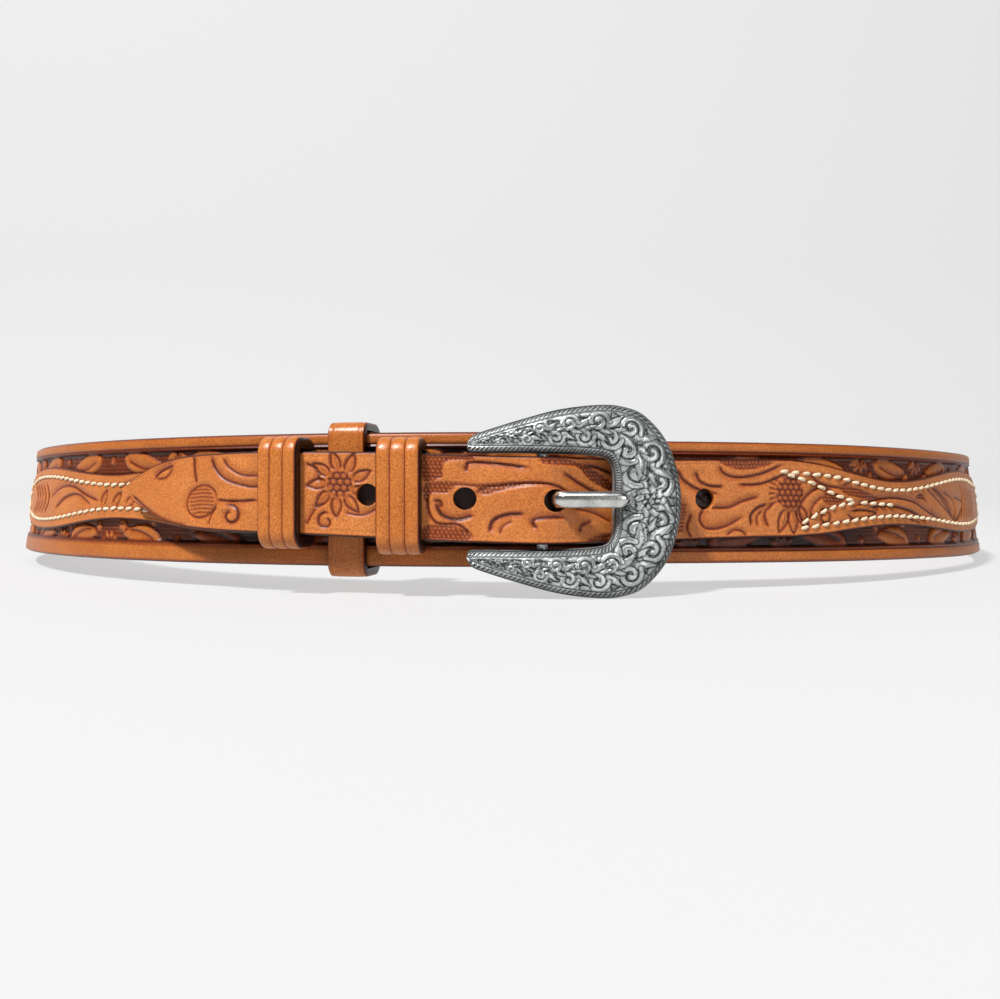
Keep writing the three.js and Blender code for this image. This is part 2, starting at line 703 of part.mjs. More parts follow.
// Middle line of the tongue: an eye round the bar, a shank through the hole, and the point
function tongueStations() {
  const over = FRAME_OUT + 0.8 * FRAME_RISE + GAP + TONGUE_THICK / 2;
  const tip = FRAME_AT + (HORSESHOE_MIDDLE.innerAlong * FRAME_LENGTH) / 2 + TONGUE_OVERLAP;
  const eyeFrom = THREE.MathUtils.degToRad(125);
  const eyeTo = 2 * Math.PI;
  const round = spread(eyeFrom, eyeTo, (eyeTo - eyeFrom) / 10).map((angle) => ({
    along: BAR_AT + TONGUE_EYE * Math.cos(angle),
    out: BAR_OUT + TONGUE_EYE * Math.sin(angle),
    width: 1,
  }));
  const bend = spread(Math.PI, Math.PI / 2, Math.PI / 8).map((angle) => ({
    along: BAR_AT + TONGUE_EYE + TONGUE_BEND * (1 + Math.cos(angle)),
    out: over - TONGUE_BEND + TONGUE_BEND * Math.sin(angle),
    width: 1,
  }));
  const point = [
    { along: tip - 5, out: over, width: 1 },
    { along: tip - 1.6, out: over, width: 0.94 },
    { along: tip - 0.5, out: over, width: 0.72 },
    { along: tip, out: over, width: 0.4 },
  ];
  return [...round, ...bend, ...point];
}

function buckleTongue() {
  const stations = tongueStations();
  const geometry = sweep(tongueSection(), stations.length, (k, up, depth) => {
    const before = stations[Math.max(k - 1, 0)];
    const after = stations[Math.min(k + 1, stations.length - 1)];
    const run = new THREE.Vector2(after.along - before.along, after.out - before.out).normalize();
    const here = stations[k];
    return onLoop(here.along - run.y * depth, here.out + run.x * depth, up * here.width);
  });
  return piece('buckle_tongue', geometry, SILVER);
}

// The buckle is taller than the strap, so the front stands a little higher than the back
function restTilt() {
  const drop = FRAME_HEIGHT / 2 + FRAME_LOW - BELT_WIDTH / 2;
  return Math.atan2(drop, LOOP_FRONT_DEPTH + FRAME_OUT + LOOP_BACK_DEPTH);
}

function assemble() {
  const belt = new THREE.Group();
  belt.add(
    beltBody(),
    billetShort(),
    billetLong(),
    ridgedKeeper('keeper_ridged_left', RIDGED_LEFT),
    plainKeeper(),
    ridgedKeeper('keeper_ridged_right', RIDGED_RIGHT),
    buckleFrame(),
    buckleTongue(),
  );
  belt.rotation.x = -restTilt();
  belt.updateMatrixWorld(true);
  const box = new THREE.Box3().setFromObject(belt, true);
  const middle = box.getCenter(new THREE.Vector3());
  belt.position.set(-middle.x, -middle.y, -box.min.z);
  const whole = new THREE.Group();
  whole.add(belt);
  whole.updateMatrixWorld(true);
  return whole;
}

export default assemble();
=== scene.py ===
"""Looks of the buckled western belt: carved leather, thread and engraved silver.

Lengths are in millimetres until a mesh is made. A place on the belt is along (round the loop
from the middle of the front), out (away from the wearer) and up (from the middle line).
"""

import math

import bpy
import numpy as np
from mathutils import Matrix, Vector


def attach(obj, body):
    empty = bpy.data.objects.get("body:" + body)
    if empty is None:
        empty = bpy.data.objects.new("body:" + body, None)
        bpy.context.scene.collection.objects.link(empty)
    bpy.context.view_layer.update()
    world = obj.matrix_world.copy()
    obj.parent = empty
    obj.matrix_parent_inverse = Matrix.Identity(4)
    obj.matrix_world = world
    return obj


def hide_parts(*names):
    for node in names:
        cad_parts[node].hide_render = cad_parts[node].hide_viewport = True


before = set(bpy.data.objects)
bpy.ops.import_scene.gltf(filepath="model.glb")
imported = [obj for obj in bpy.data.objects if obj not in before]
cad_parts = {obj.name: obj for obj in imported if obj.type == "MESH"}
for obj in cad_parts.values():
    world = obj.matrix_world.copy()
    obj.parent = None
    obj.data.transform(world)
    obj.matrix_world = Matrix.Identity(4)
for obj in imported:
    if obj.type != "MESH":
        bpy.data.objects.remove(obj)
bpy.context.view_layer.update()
rng = np.random.default_rng(7)

# ---------------------------------------------------------------- sizes of the frame
GAP = 0.3
LOOP_HALF_WIDTH = 197.5
LOOP_FRONT_DEPTH = 173.0
LOOP_BACK_DEPTH = 120.0
BELT_WIDTH = 38.0
BELT_THICK = 3.0
BELT_BORDER = 4.2
BELT_FIELD_DEPTH = 0.8
BELT_SILL = 1.9
BELT_INNER_END = -54.0
BELT_OUTER_END = 32.0
BILLET_WIDTH = 23.8
LONG_THICK = 2.8
LONG_TIP = -116.4
LONG_END = 219.0
LONG_POINT = 60.0
SHORT_THICK = 1.8
SHORT_END = -215.0
SHORT_RETURN_END = -70.0
SCALLOP_LENGTH = 130.0
SKIVED_SHARE = 0.5
HOLE_RADIUS = 3.1
HOLE_PITCH = 23.8
HOLES = (-2.08, -0.99, 0, 0.96, 1.92)
KEEPER_WALL = 2.8
KEEPER_BACK = 2.4
KEEPER_RIDGE = 0.7
KEEPER_CORNER = 4.0
KEEPER_SLACK = 0.7
KEEPER_BANDS = 3
RIDGED_LEFT = {"at": -58.9, "width": 11.2}
RIDGED_RIGHT = {"at": -26.1, "width": 11.7}
PLAIN = {"at": -43.4, "width": 11.1}
PLAIN_LOOSE_BEHIND = 4.5
FRAME_LENGTH = 57.0
FRAME_HEIGHT = 52.8
FRAME_AT = 19.9
FRAME_LOW = 0.55
FRAME_RISE = 5.6
BAR_RADIUS = 1.6
BAR_SHARE = -0.295
BAR_BEHIND_FRAME = 2.6
LUG_LENGTH = 4.6
LUG_HEIGHT = 4.0
TONGUE_WIDTH = 4.4
TONGUE_THICK = 2.2
TONGUE_BEND = 2.6
TONGUE_OVERLAP = 2.8
SHORT_LEVEL = GAP + KEEPER_BACK + GAP
BAR_OUT = SHORT_LEVEL + SHORT_THICK + GAP / 2
FOLD_INSIDE = BAR_RADIUS + GAP
LONG_LEVEL = SHORT_LEVEL + 2 * SHORT_THICK + 2 * GAP
LONG_OVER_BAR = BAR_OUT + FOLD_INSIDE + SHORT_THICK + GAP
FRAME_OUT = BAR_OUT + BAR_BEHIND_FRAME
LONG_UNDER_FRAME = FRAME_OUT - GAP - LONG_THICK
ON_FIELD = GAP - BELT_FIELD_DEPTH
BELT_STEP = BELT_THICK + GAP
BAR_AT = FRAME_AT + BAR_SHARE * FRAME_LENGTH / 2
TONGUE_EYE = BAR_RADIUS + GAP + TONGUE_THICK / 2
HOLE_AT_TONGUE = BAR_AT + TONGUE_EYE
TILT = -math.atan2(
    FRAME_HEIGHT / 2 + FRAME_LOW - BELT_WIDTH / 2, LOOP_FRONT_DEPTH + FRAME_OUT + LOOP_BACK_DEPTH
)
STANDS_AT = np.array([-0.019, 33.256, 22.218])
M = 0.001


# ---------------------------------------------------------------- the loop
def loop_table():
    angle = np.linspace(0, 2 * math.pi, 8001)
    depth = np.where(np.cos(angle) > 0, LOOP_FRONT_DEPTH, LOOP_BACK_DEPTH)
    x, y = LOOP_HALF_WIDTH * np.sin(angle), -depth * np.cos(angle)
    steps = np.hypot(np.diff(x), np.diff(y))
    return angle, np.concatenate([[0], np.cumsum(steps)])


LOOP_ANGLES, LOOP_ARCS = loop_table()
LOOP_LENGTH = LOOP_ARCS[-1]


def follow(rows, column, along):
    """Column of a table at places, on a smooth curve through its rows."""
    xs = np.array([row["along"] for row in rows], float)
    ys = np.array([row[column] for row in rows], float)
    along = np.clip(np.asarray(along, float), xs[0], xs[-1])
    before = np.maximum(np.arange(len(xs)) - 1, 0)
    after = np.minimum(np.arange(len(xs)) + 1, len(xs) - 1)
    slope = (ys[after] - ys[before]) / (xs[after] - xs[before])
    i = np.clip(np.searchsorted(xs, along, side="right") - 1, 0, len(xs) - 2)
    span = xs[i + 1] - xs[i]
    t = (along - xs[i]) / span
    return (
        (2 * t**3 - 3 * t**2 + 1) * ys[i]
        + (t**3 - 2 * t**2 + t) * span * slope[i]
        + (3 * t**2 - 2 * t**3) * ys[i + 1]
        + (t**3 - t**2) * span * slope[i + 1]
    )


def table(columns, *rows):
    names = columns.split()
    return [dict(zip(names, row)) for row in rows]


LEAN = table(
    "along slope",
    (-0.46 * LOOP_LENGTH, 0),
    (-0.37 * LOOP_LENGTH, 0.04),
    (-0.21 * LOOP_LENGTH, 0.11),
    (-0.09 * LOOP_LENGTH, 0.02),
    (-0.045 * LOOP_LENGTH, 0),
    (0.045 * LOOP_LENGTH, 0),
    (0.09 * LOOP_LENGTH, 0.02),
    (0.21 * LOOP_LENGTH, 0.11),
    (0.37 * LOOP_LENGTH, 0.04),
    (0.46 * LOOP_LENGTH, 0),
)


def on_loop(along, out, up):
    """Points in the row frame, in metres."""
    along, out, up = np.broadcast_arrays(*(np.asarray(v, float) for v in (along, out, up)))
    angle = np.interp(np.mod(along, LOOP_LENGTH), LOOP_ARCS, LOOP_ANGLES)
    depth = np.where(np.cos(angle) > 0, LOOP_FRONT_DEPTH, LOOP_BACK_DEPTH)
    tangent = np.stack([LOOP_HALF_WIDTH * np.cos(angle), depth * np.sin(angle)], -1)
    tangent /= np.linalg.norm(tangent, axis=-1, keepdims=True)
    from_front = np.where(along > LOOP_LENGTH / 2, along - LOOP_LENGTH, along)
    out = out - follow(LEAN, "slope", from_front) * up
    x = LOOP_HALF_WIDTH * np.sin(angle) + tangent[..., 1] * out
    y = -depth * np.cos(angle) - tangent[..., 0] * out
    row_y = y * math.cos(TILT) - up * math.sin(TILT)
    row_z = y * math.sin(TILT) + up * math.cos(TILT)
    return (np.stack([x, row_y, row_z], -1) + STANDS_AT) * M


def smoothstep(x, low, high):
    t = np.clip((np.asarray(x, float) - low) / (high - low), 0, 1)
    return t * t * (3 - 2 * t)


# ---------------------------------------------------------------- carving
def rounded(points, closed=False, steps=7):
    """A smooth path through the points."""
    p = np.asarray(points, float)
    if closed:
        p = np.vstack([p[-1], p, p[0], p[1]])
    else:
        p = np.vstack([2 * p[0] - p[1], p, 2 * p[-1] - p[-2]])
    out = []
    for a, b, c, d in zip(p[:-3], p[1:-2], p[2:-1], p[3:]):
        square, cube = 2 * a - 5 * b + 4 * c - d, 3 * b - a - 3 * c + d
        for t in np.arange(steps) / steps:
            out.append(0.5 * (2 * b + (c - a) * t + square * t * t + cube * t**3))
    if not closed:
        out.append(p[-2])
    return np.array(out)


def spiral(centre, radius, turns, start, hand, shrink):
    """A curl that winds in towards its centre."""
    t = np.linspace(0, 1, max(8, int(turns * 14)))
    r = radius * (1 - t) ** 0.9 + shrink * radius * t
    angle = start + hand * 2 * math.pi * turns * t
    return np.stack([centre[0] + r * np.cos(angle), centre[1] + r * np.sin(angle)], 1)


def petal(base, angle, length, width, bend=0.0):
    """Outline of a petal that starts at base and points along angle."""
    t = np.concatenate([np.linspace(0, 1, 10), np.linspace(1, 0, 10)[1:-1]])
    side = np.concatenate([np.ones(10), -np.ones(8)])
    half = width / 2 * np.sin(math.pi * t**0.75) ** 0.8
    x, y = t * length, side * half + bend * t * t * length
    c, s = math.cos(angle), math.sin(angle)
    return np.stack([base[0] + c * x - s * y, base[1] + s * x + c * y], 1)


def ring(centre, radius, count):
    """Points round a circle."""
    t = np.linspace(0, 2 * math.pi, count, endpoint=False)
    return np.stack([centre[0] + radius * np.cos(t), centre[1] + radius * np.sin(t)], 1)


def towards(angle):
    return np.array([math.cos(angle), math.sin(angle)])


def looped(path):
    return np.vstack([path, path[:1]])


GROUND_DYE = 0.72


class Relief:
    """A height drawing over a flat area, sampled by the fine meshes."""

    def __init__(self, low, high, step, level=0.0):
        self.low, self.step = low, step
        self.a = np.arange(low[0], high[0] + step, step)
        self.u = np.arange(low[1], high[1] + step, step)
        self.h = np.full((len(self.a), len(self.u)), level)
        self.mat = np.full(self.h.shape, 1.0 if level < 0 else 0.0)
        # This layer holds the antiquing in the cuts and matted ground, and painted shade on the cut bevels.
        self.stain_and_shade = GROUND_DYE * self.mat
        self.pebbles = np.zeros_like(self.mat)

    def window(self, path, margin):
        lo = (path.min(0) - margin - self.low) / self.step
        hi = (path.max(0) + margin - self.low) / self.step
        i0, j0 = (max(0, int(v)) for v in lo)
        i1, j1 = (max(0, int(v) + 2) for v in hi)
        span = (slice(i0, i1), slice(j0, j1))
        return span, self.a[span[0]][:, None], self.u[span[1]][None, :]

    @staticmethod
    def distance(path, a, u):
        best = np.full(np.broadcast_shapes(a.shape, u.shape), 1e9)
        side = np.ones_like(best)
        run = np.zeros_like(best)
        for k, (p, q) in enumerate(zip(path[:-1], path[1:])):
            dx, dy = q - p
            length2 = dx * dx + dy * dy + 1e-12
            t = np.clip(((a - p[0]) * dx + (u - p[1]) * dy) / length2, 0, 1)
            d = np.hypot(a - p[0] - t * dx, u - p[1] - t * dy)
            near = d < best
            best = np.where(near, d, best)
            side = np.where(near, np.sign(dx * (u - p[1]) - dy * (a - p[0])), side)
            run = np.where(near, (k + t) / (len(path) - 1), run)
        return best, side, run

    @staticmethod
    def inside(path, a, u):
        odd = np.zeros(np.broadcast_shapes(a.shape, u.shape), bool)
        for p, q in zip(path, np.roll(path, -1, 0)):
            crosses = (p[1] > u) != (q[1] > u)
            at = (q[0] - p[0]) * (u - p[1]) / (q[1] - p[1] + 1e-12) + p[0]
            odd ^= crosses & (a < at)
        return odd

    def cut(self, path, depth, width, bevel, side=1):
        """A knife cut whose one side is bevelled down to it; the bevel is darkened with antiquing and painted
        shade.
        """
        span, a, u = self.window(path, 2.5 * bevel)
        d, s, run = self.distance(path, a, u)
        fade = np.clip(np.minimum(run, 1 - run) * 9 + 0.25, 0, 1)
        groove = np.exp(-((d / width) ** 2))
        slope = np.where(s * side > 0, 0.85 * np.exp(-((d / bevel) ** 1.5)), 0)
        self.h[span] -= 1.35 * depth * fade * np.maximum(groove, slope)
        in_groove = np.exp(-((d / (1.15 * width)) ** 2)) * min(1, 2.2 * depth)
        # The bevel beside a cut is darkened partly as antiquing and partly as painted shade.
        bevel_stain_and_shade = 0.62 * slope**1.4 * min(1, 2 * depth)
        self.stain_and_shade[span] = np.maximum(self.stain_and_shade[span], fade * np.maximum(in_groove, bevel_stain_and_shade))

    def stroke(self, points, depth, width, bevel, side=1):
        """A cut along a smooth path through the points."""
        self.cut(rounded(points), depth, width, bevel, side)

    def ground(self, path, depth=0.42, pebbled=False):
        """A matted area below the surface."""
        span, a, u = self.window(path, 1.0)
        d = self.distance(looped(path), a, u)[0]
        t = np.where(self.inside(path, a, u), smoothstep(d, -0.15, 0.35), 0)
        self.h[span] = self.h[span] * (1 - t) - depth * t
        self.mat[span] = np.maximum(self.mat[span], t)
        self.stain_and_shade[span] = np.maximum(self.stain_and_shade[span] * (1 - t), GROUND_DYE * t)
        if pebbled:
            self.pebbles[span] = np.maximum(self.pebbles[span], t)

    def sink(self, points):
        """A matted area with a smooth outline through the points."""
        self.ground(rounded(points, True))

    def raised(self, path, height, dome):
        """A petal or leaf that stands above the ground, domed, with its outline cut."""
        span, a, u = self.window(path, 1.0)
        d = self.distance(looped(path), a, u)[0]
        within = self.inside(path, a, u)
        t = np.where(within, smoothstep(d, 0, 0.4), 0)
        top = height - dome + dome * smoothstep(d, 0.2, 1.8)
        self.h[span] = self.h[span] * (1 - t) + top * t
        self.mat[span] *= 1 - t
        self.stain_and_shade[span] = self.stain_and_shade[span] * (1 - t) + 0.3 * np.exp(-((d / 0.7) ** 2)) * t
        rim = np.where(within, 0, np.exp(-((d / 0.35) ** 2)))
        self.h[span] -= 0.12 * rim
        self.stain_and_shade[span] = np.maximum(self.stain_and_shade[span], 0.95 * rim)

    def ridge(self, path, width, height=0.02):
        """A round bar along a path."""
        span, a, u = self.window(path, width)
        d = self.distance(path, a, u)[0] / (width / 2)
        t = smoothstep(-d, -1.1, -0.7)
        self.h[span] = self.h[span] * (1 - t) + (height - 0.12 * np.minimum(d, 1) ** 2) * t
        self.stain_and_shade[span] = self.stain_and_shade[span] * (1 - t) + 0.1 * t
        rim = np.exp(-(((d - 1.25) / 0.3) ** 2))
        self.stain_and_shade[span] = np.maximum(self.stain_and_shade[span], 0.95 * rim)

    def dent(self, at, size, angle, depth):
        """The mark of a round or long punch."""
        path = np.array([at])
        span, a, u = self.window(path, 2.4 * max(size))
        c, s = math.cos(angle), math.sin(angle)
        x, y = c * (a - at[0]) + s * (u - at[1]), -s * (a - at[0]) + c * (u - at[1])
        self.h[span] -= depth * np.exp(-((x / size[0]) ** 2) - (y / size[1]) ** 2)

    def beads(self, pitch, height, where):
        """Small round beads wherever the ground is matted."""
        row = pitch * math.sqrt(3) / 2
        a, u = self.a[:, None], self.u[None, :]
        line = np.round(u / row)
        shift = np.where(line % 2 == 0, 0, pitch / 2)
        column = np.round((a - shift) / pitch)
        r = np.hypot(a - shift - column * pitch, u - line * row) / (0.54 * pitch)
        ball = np.sqrt(np.clip(1 - r * r, 0, 1))
        self.h += where * height * (ball - 0.3)
        self.stain_and_shade = np.clip(self.stain_and_shade + where * (0.28 - 0.8 * ball**1.5), 0, 1)

    def mat_down(self, pitch, height):
        """Fine beads on the matted areas and coarse ones in the pebbled hearts."""
        self.beads(pitch, height, self.mat * (1 - self.pebbles))
        self.beads(1.6 * pitch, 1.5 * height, self.mat * self.pebbles)

    def at(self, along, up, layer=None):
        """The height, or another layer, between the points of the drawing."""
        i = np.clip((np.asarray(along) - self.a[0]) / self.step, 0, len(self.a) - 1.001)
        j = np.clip((np.asarray(up) - self.u[0]) / self.step, 0, len(self.u) - 1.001)
        i0, j0 = i.astype(int), j.astype(int)
        fi, fj = i - i0, j - j0
        h = self.h if layer is None else layer
        return (
            h[i0, j0] * (1 - fi) * (1 - fj)
            + h[i0 + 1, j0] * fi * (1 - fj)
            + h[i0, j0 + 1] * (1 - fi) * fj
            + h[i0 + 1, j0 + 1] * fi * fj
        )


def flower(relief, centre, heart, angles, reach, breadth, hand=1):
    """A sunflower: cut petals round a pebbled heart."""
    for angle in angles:
        ahead = towards(angle)
        base = centre + heart * ahead
        leaf = petal(base, angle, reach - heart, breadth, 0.12 * hand)
        relief.cut(looped(leaf), 0.4, 0.3, 0.9, -1)
        relief.stroke([base, centre + 0.8 * reach * ahead], 0.16, 0.22, 0.5)
    relief.ground(ring(centre, heart, 29), 0.3, pebbled=True)


def carve_long():
    """The long strap, after the photo: tip at the left, scalloped end at the right.

    A stroke has its points (along, up), depth, width, bevel and the side that slopes down to it.
    """
    r = Relief((LONG_TIP - 3, -13), (LONG_END + 3, 13), 0.16)
    # pointed tip
    r.stroke([(-114, -1.6), (-109, -4.6), (-103, -7.4), (-96, -9.2), (-90, -9.9)], 0.34, 0.5, 1.2, -1)
    r.stroke([(-104, 3.6), (-101, 5.8), (-96, 7.6)], 0.5, 0.4, 1.6, 1)
    r.stroke([(-103, 3.4), (-99, 4.0), (-96, 6.9)], 0.3, 0.35, 1.0, -1)
    r.stroke([(-87.5, 10.4), (-87.2, 6), (-86.5, 2.4)], 0.4, 0.35, 1.1)
    t = np.linspace(0, 2 * math.pi, 26)[:-1]
    oval = np.stack([-84.6 + 5.6 * np.cos(t), -2.8 + 4.6 * np.sin(t) + 0.8 * np.cos(t)], 1)
    r.cut(looped(oval), 0.34, 0.35, 0.9, -1)
    for k in range(7):
        u = 0.4 - 1.1 * k
        half = 5.0 * math.sqrt(max(0.05, 1 - ((u + 2.8) / 4.6) ** 2))
        r.stroke([(-84.6 - half, u - 0.3), (-84.6, u + 0.25), (-84.6 + half, u + 0.1)], 0.3, 0.26, 0.5)
    r.stroke([(-79, -2.2), (-74, -2.6), (-66, -2.2)], 0.4, 0.32, 1.2, -1)
    r.cut(spiral((-74.6, -6.6), 3.1, 1.1, 2.2, -1, 0.3), 0.45, 0.36, 1.2, 1)
    r.stroke([(-81, 10), (-79.6, 6.6), (-76, 3.4), (-69, 1.6), (-64, 1.8)], 0.45, 0.32, 1.5)
    r.stroke([(-77, 9.6), (-75.2, 7), (-71, 4.8), (-65, 4.6)], 0.4, 0.32, 1.2)
    r.stroke([(-82, -9.4), (-81, -6.6), (-79.4, -4.4)], 0.35, 0.3, 1.0)
    # between the ridged keepers
    flower(r, np.array([-42.5, 2.8]), 3.7, 2 * math.pi * (np.arange(9) + 0.5) / 9, 9.2, 2.7)
    r.stroke([(-52, -9), (-49.5, -4.6), (-46.6, -2.6)], 0.4, 0.3, 1.2)
    r.stroke([(-52, 8.4), (-49, 6.6), (-48, 3)], 0.4, 0.3, 1.2, -1)
    r.cut(spiral((-46.4, -7.6), 2.6, 1.0, 1.2, 1, 0.3), 0.42, 0.32, 1.1)
    r.stroke([(-41, -5.2), (-36, -5.6), (-32, -3.6)], 0.4, 0.3, 1.2)
    # round the hole beside the right keeper
    r.sink([(-20.5, 11.4), (-8, 11.6), (-7, 10.4), (-14, 9.6), (-15, 5.4), (-20, 4.6)])
    r.sink([(-20, 3.4), (-14.6, 4.6), (-6, 4.2), (5, 4.7), (13, 4.6), (4, 3.2), (-4, 1.0), (-6, 2.8),
                      (-11, 3.2), (-13.4, 1.2), (-17.4, 1.0), (-19.6, -1.4)])
    r.sink([(-20, -8), (-15.6, -7.4), (-9.4, -8.2), (-6.6, -10.8), (-13, -11.7), (-20.4, -11.6)])
    r.stroke([(-18.8, 1.6), (-18.6, -3.2), (-16.4, -6.8), (-10.6, -7.2), (-7, -10)], 0.42, 0.3, 1.0, -1)
    r.stroke([(-16.6, -1.6), (-15, -4.6), (-11, -5.8), (-6.6, -4.4)], 0.6, 0.5, 1.5, 1)
    r.stroke([(-17, -0.8), (-15.4, -1.0), (-15.2, -2.8)], 0.4, 0.34, 1.0, -1)
    r.stroke([(-8.5, 8.6), (-7.6, 9.9), (0, 9.7), (8, 8.8)], 0.5, 0.34, 1.2, -1)
    r.stroke([(-8.6, 8.9), (-8.6, 7.4)], 0.5, 0.34, 1.2, -1)
    r.stroke([(-6.4, 1.4), (-3, 3.4), (3, 4.4), (12, 4.6), (17, 2.2)], 0.4, 0.32, 1.0, -1)
    for k in range(4):
        r.dent((-4.0 + 1.0 * k, -5.0 - 0.3 * k), (0.45, 2.6), -0.35, 0.28)
    r.stroke([(-2.6, -9.0), (-1.6, -5.8), (2, -4.0), (7, -3.6)], 0.5, 0.42, 1.4, -1)
    r.stroke([(0.2, -9.4), (0.8, -7.4), (3.6, -5.6)], 0.34, 0.34, 0.9)
    r.stroke([(9.8, -7.6), (8.8, -5.8), (10.6, -4.8), (16, -4.4)], 0.5, 0.4, 1.3, 1)
    r.stroke([(20, -8.6), (20.8, -6.6), (23.6, -5.8)], 0.4, 0.34, 1.1, 1)
    r.sink([(11.5, 9.8), (19, 9.0), (23, 5.4), (29, 2.6), (31, 3.8), (25, 8.2), (17, 11.2), (11, 11.4)])
    r.stroke([(15.6, 7.6), (20, 4.6), (26, 1.8), (33, 0.8)], 0.42, 0.32, 1.2, -1)
    r.stroke([(20.6, 9.6), (25, 9.2), (30, 7.4)], 0.5, 0.4, 1.3, 1)
    r.stroke([(18, -2.2), (24, -3.4), (30, -6.2)], 0.35, 0.32, 1.0, 1)
    r.sink([(23, -10.2), (28, -9.2), (33, -9.6), (33, -11.6), (23, -11.6)])
    # the flower stems right of the buckle
    r.stroke([(51.5, 8.6), (53.4, 5.8), (58, 3.0), (64.4, 1.4)], 0.5, 0.34, 1.6, -1)
    r.stroke([(57.4, 8.0), (58.8, 5.2), (62, 3.8), (66, 3.6)], 0.45, 0.34, 1.2, -1)
    for k in range(6):
        r.dent((53.6 + 1.7 * k, 7.6 - 0.3 * k), (0.5, 2.2), 0.25, 0.3)
    for k in range(8):
        r.stroke([(49.6, -1.2 - 1.15 * k), (54.4 - 0.1 * k, -1.6 - 1.0 * k)], 0.34, 0.28, 0.55)
    r.stroke([(61, -2.4), (67.4, -2.6), (72, -0.9), (77.6, 0.6)], 0.45, 0.32, 1.3, 1)
    r.stroke([(59.8, -2.6), (58.6, -5.6), (60.6, -8.4), (66, -8.2), (72.6, -5.2)], 0.45, 0.32, 1.5, 1)
    r.stroke([(56, -4), (54.6, -8), (56, -11)], 0.4, 0.32, 1.0, -1)
    r.stroke([(75, -8), (74.8, -5), (77, -2.8), (80, -1.8)], 0.5, 0.34, 1.2, -1)
    r.stroke([(77, -8.2), (76.8, -5.6), (78.6, -3.6)], 0.36, 0.3, 0.8, -1)
    r.stroke([(67, -10.6), (69.4, -9.2), (72, -9.6), (73.4, -11)], 0.4, 0.3, 0.9, 1)
    r.sink([(66, 9.8), (72, 8.2), (80, 9.2), (82, 10.8), (72, 11.4), (65, 11.2)])
    r.stroke([(64.6, 9.6), (66.6, 7.2), (71, 6.2), (78, 7.2), (86, 10.2)], 0.42, 0.32, 1.4, -1)
    r.stroke([(70.6, 4.0), (77.6, 4.2), (83, 5.8), (87, 7.6)], 0.42, 0.32, 1.3, -1)
    # second sunflower and its leaves
    heart = np.array([88.0, 1.6])
    flower(r, heart, 5.0, np.radians([-56, -80, -104]), 12.2, 3.3, -1)
    for angle in np.radians([140, 154, 168, 182, 196, 210]):
        r.stroke([heart + 5.0 * towards(angle), heart + 7.2 * towards(angle)], 0.3, 0.3, 0.6)
    r.stroke([(80.6, -8.6), (79.4, -4.6), (82.6, -1.4)], 0.4, 0.32, 1.2, 1)
    r.stroke([(93, -7.6), (91.4, -3.6), (93.4, 0.2), (98, 3.2), (104, 3.0)], 0.45, 0.32, 1.3, 1)
    r.stroke([(96, -6.6), (95.6, -3.4), (98.6, 0), (104, 1.2)], 0.38, 0.3, 1.0, 1)
    r.cut(spiral((100.4, -5.4), 2.6, 1.1, 2.4, -1, 0.3), 0.42, 0.32, 1.1)
    r.stroke([(95, 7.4), (99, 4.8), (106, 3.9), (110, 5.6)], 0.4, 0.3, 1.1, -1)
    r.sink([(99.6, 1.2), (104, 2.4), (107.6, 0.2), (104.4, -1.6), (100.6, -1.4)])
    r.sink([(106, 4.6), (114, 4.0), (122, 2.0), (126, 1.2), (120, 0.4), (112, 1.2), (108, 2.0)])
    r.stroke([(109, -4), (112, -5.6), (118, -5.2), (122, -3.4), (116, -2.6), (110, -3.2)], 0.42, 0.32, 1.1, 1)
    r.stroke([(112, -1.6), (120, 0.2), (130, 1.6), (142, 0.4), (152, -3.2), (166, -7.4)], 0.45, 0.34, 1.5, 1)
    r.stroke([(118, -1.6), (130, -1.0), (141, -2.6), (150, -6)], 0.45, 0.34, 1.3, -1)
    r.stroke([(126, -4.6), (136, -4.4), (146, -6.6)], 0.35, 0.3, 0.9, 1)
    r.sink([(144, 1.6), (150, 0.4), (157, -4), (160, -6.6), (154, -2.4), (148, 3.2)])
    for rise in (5.6, 5.8, 5.0, 3.6, 1.6):
        start = 150 + 5 * (5.8 - rise) + 3.4 * (rise < 5.7)
        r.stroke([(start, rise), (start + 9, 0.4 * rise - 1.6), (174, -7.2)], 0.45, 0.32, 1.2, 1)
    for k in range(6):
        r.stroke([(182 + 3.5 * k, 6 - 0.4 * k), (184 + 3.2 * k, 0), (181 + 3.4 * k, -6)], 0.35, 0.3, 1.1, 1)
    r.mat_down(1.2, 0.3)
    return r


def carve_short():
    """The short strap's scalloped end and what shows of it."""
    r = Relief((SHORT_END - 3, -13), (30, 13), 0.2)
    r.stroke([(-176, 0), (-166, 3.4), (-156, 3.6), (-146, 0.6), (-138, -1.4)], 0.4, 0.34, 1.4, 1)
    r.stroke([(-170, -3.4), (-162, 0), (-152, 1.0), (-143, -2.4)], 0.4, 0.34, 1.3, -1)
    for k in range(3):
        base = (-136.5 + 6.5 * k, -2.6)
        r.cut(petal(base, 0.9 - 0.25 * k, 5.6, 2.6, 0.1), 0.35, 0.3, 0.9, -1)
    for k in range(5):
        r.stroke([(-182 - 4.5 * k, 5.2), (-178 - 4 * k, 0), (-182 - 4.5 * k, -5.2)], 0.35, 0.3, 1.1, 1)
    r.stroke([(-128, 2.6), (-120, 4.4), (-112, 2.2), (-104, 4.0)], 0.35, 0.3, 1.1, 1)
    r.mat_down(1.2, 0.28)
    return r


FIELD_TILE = 62.0


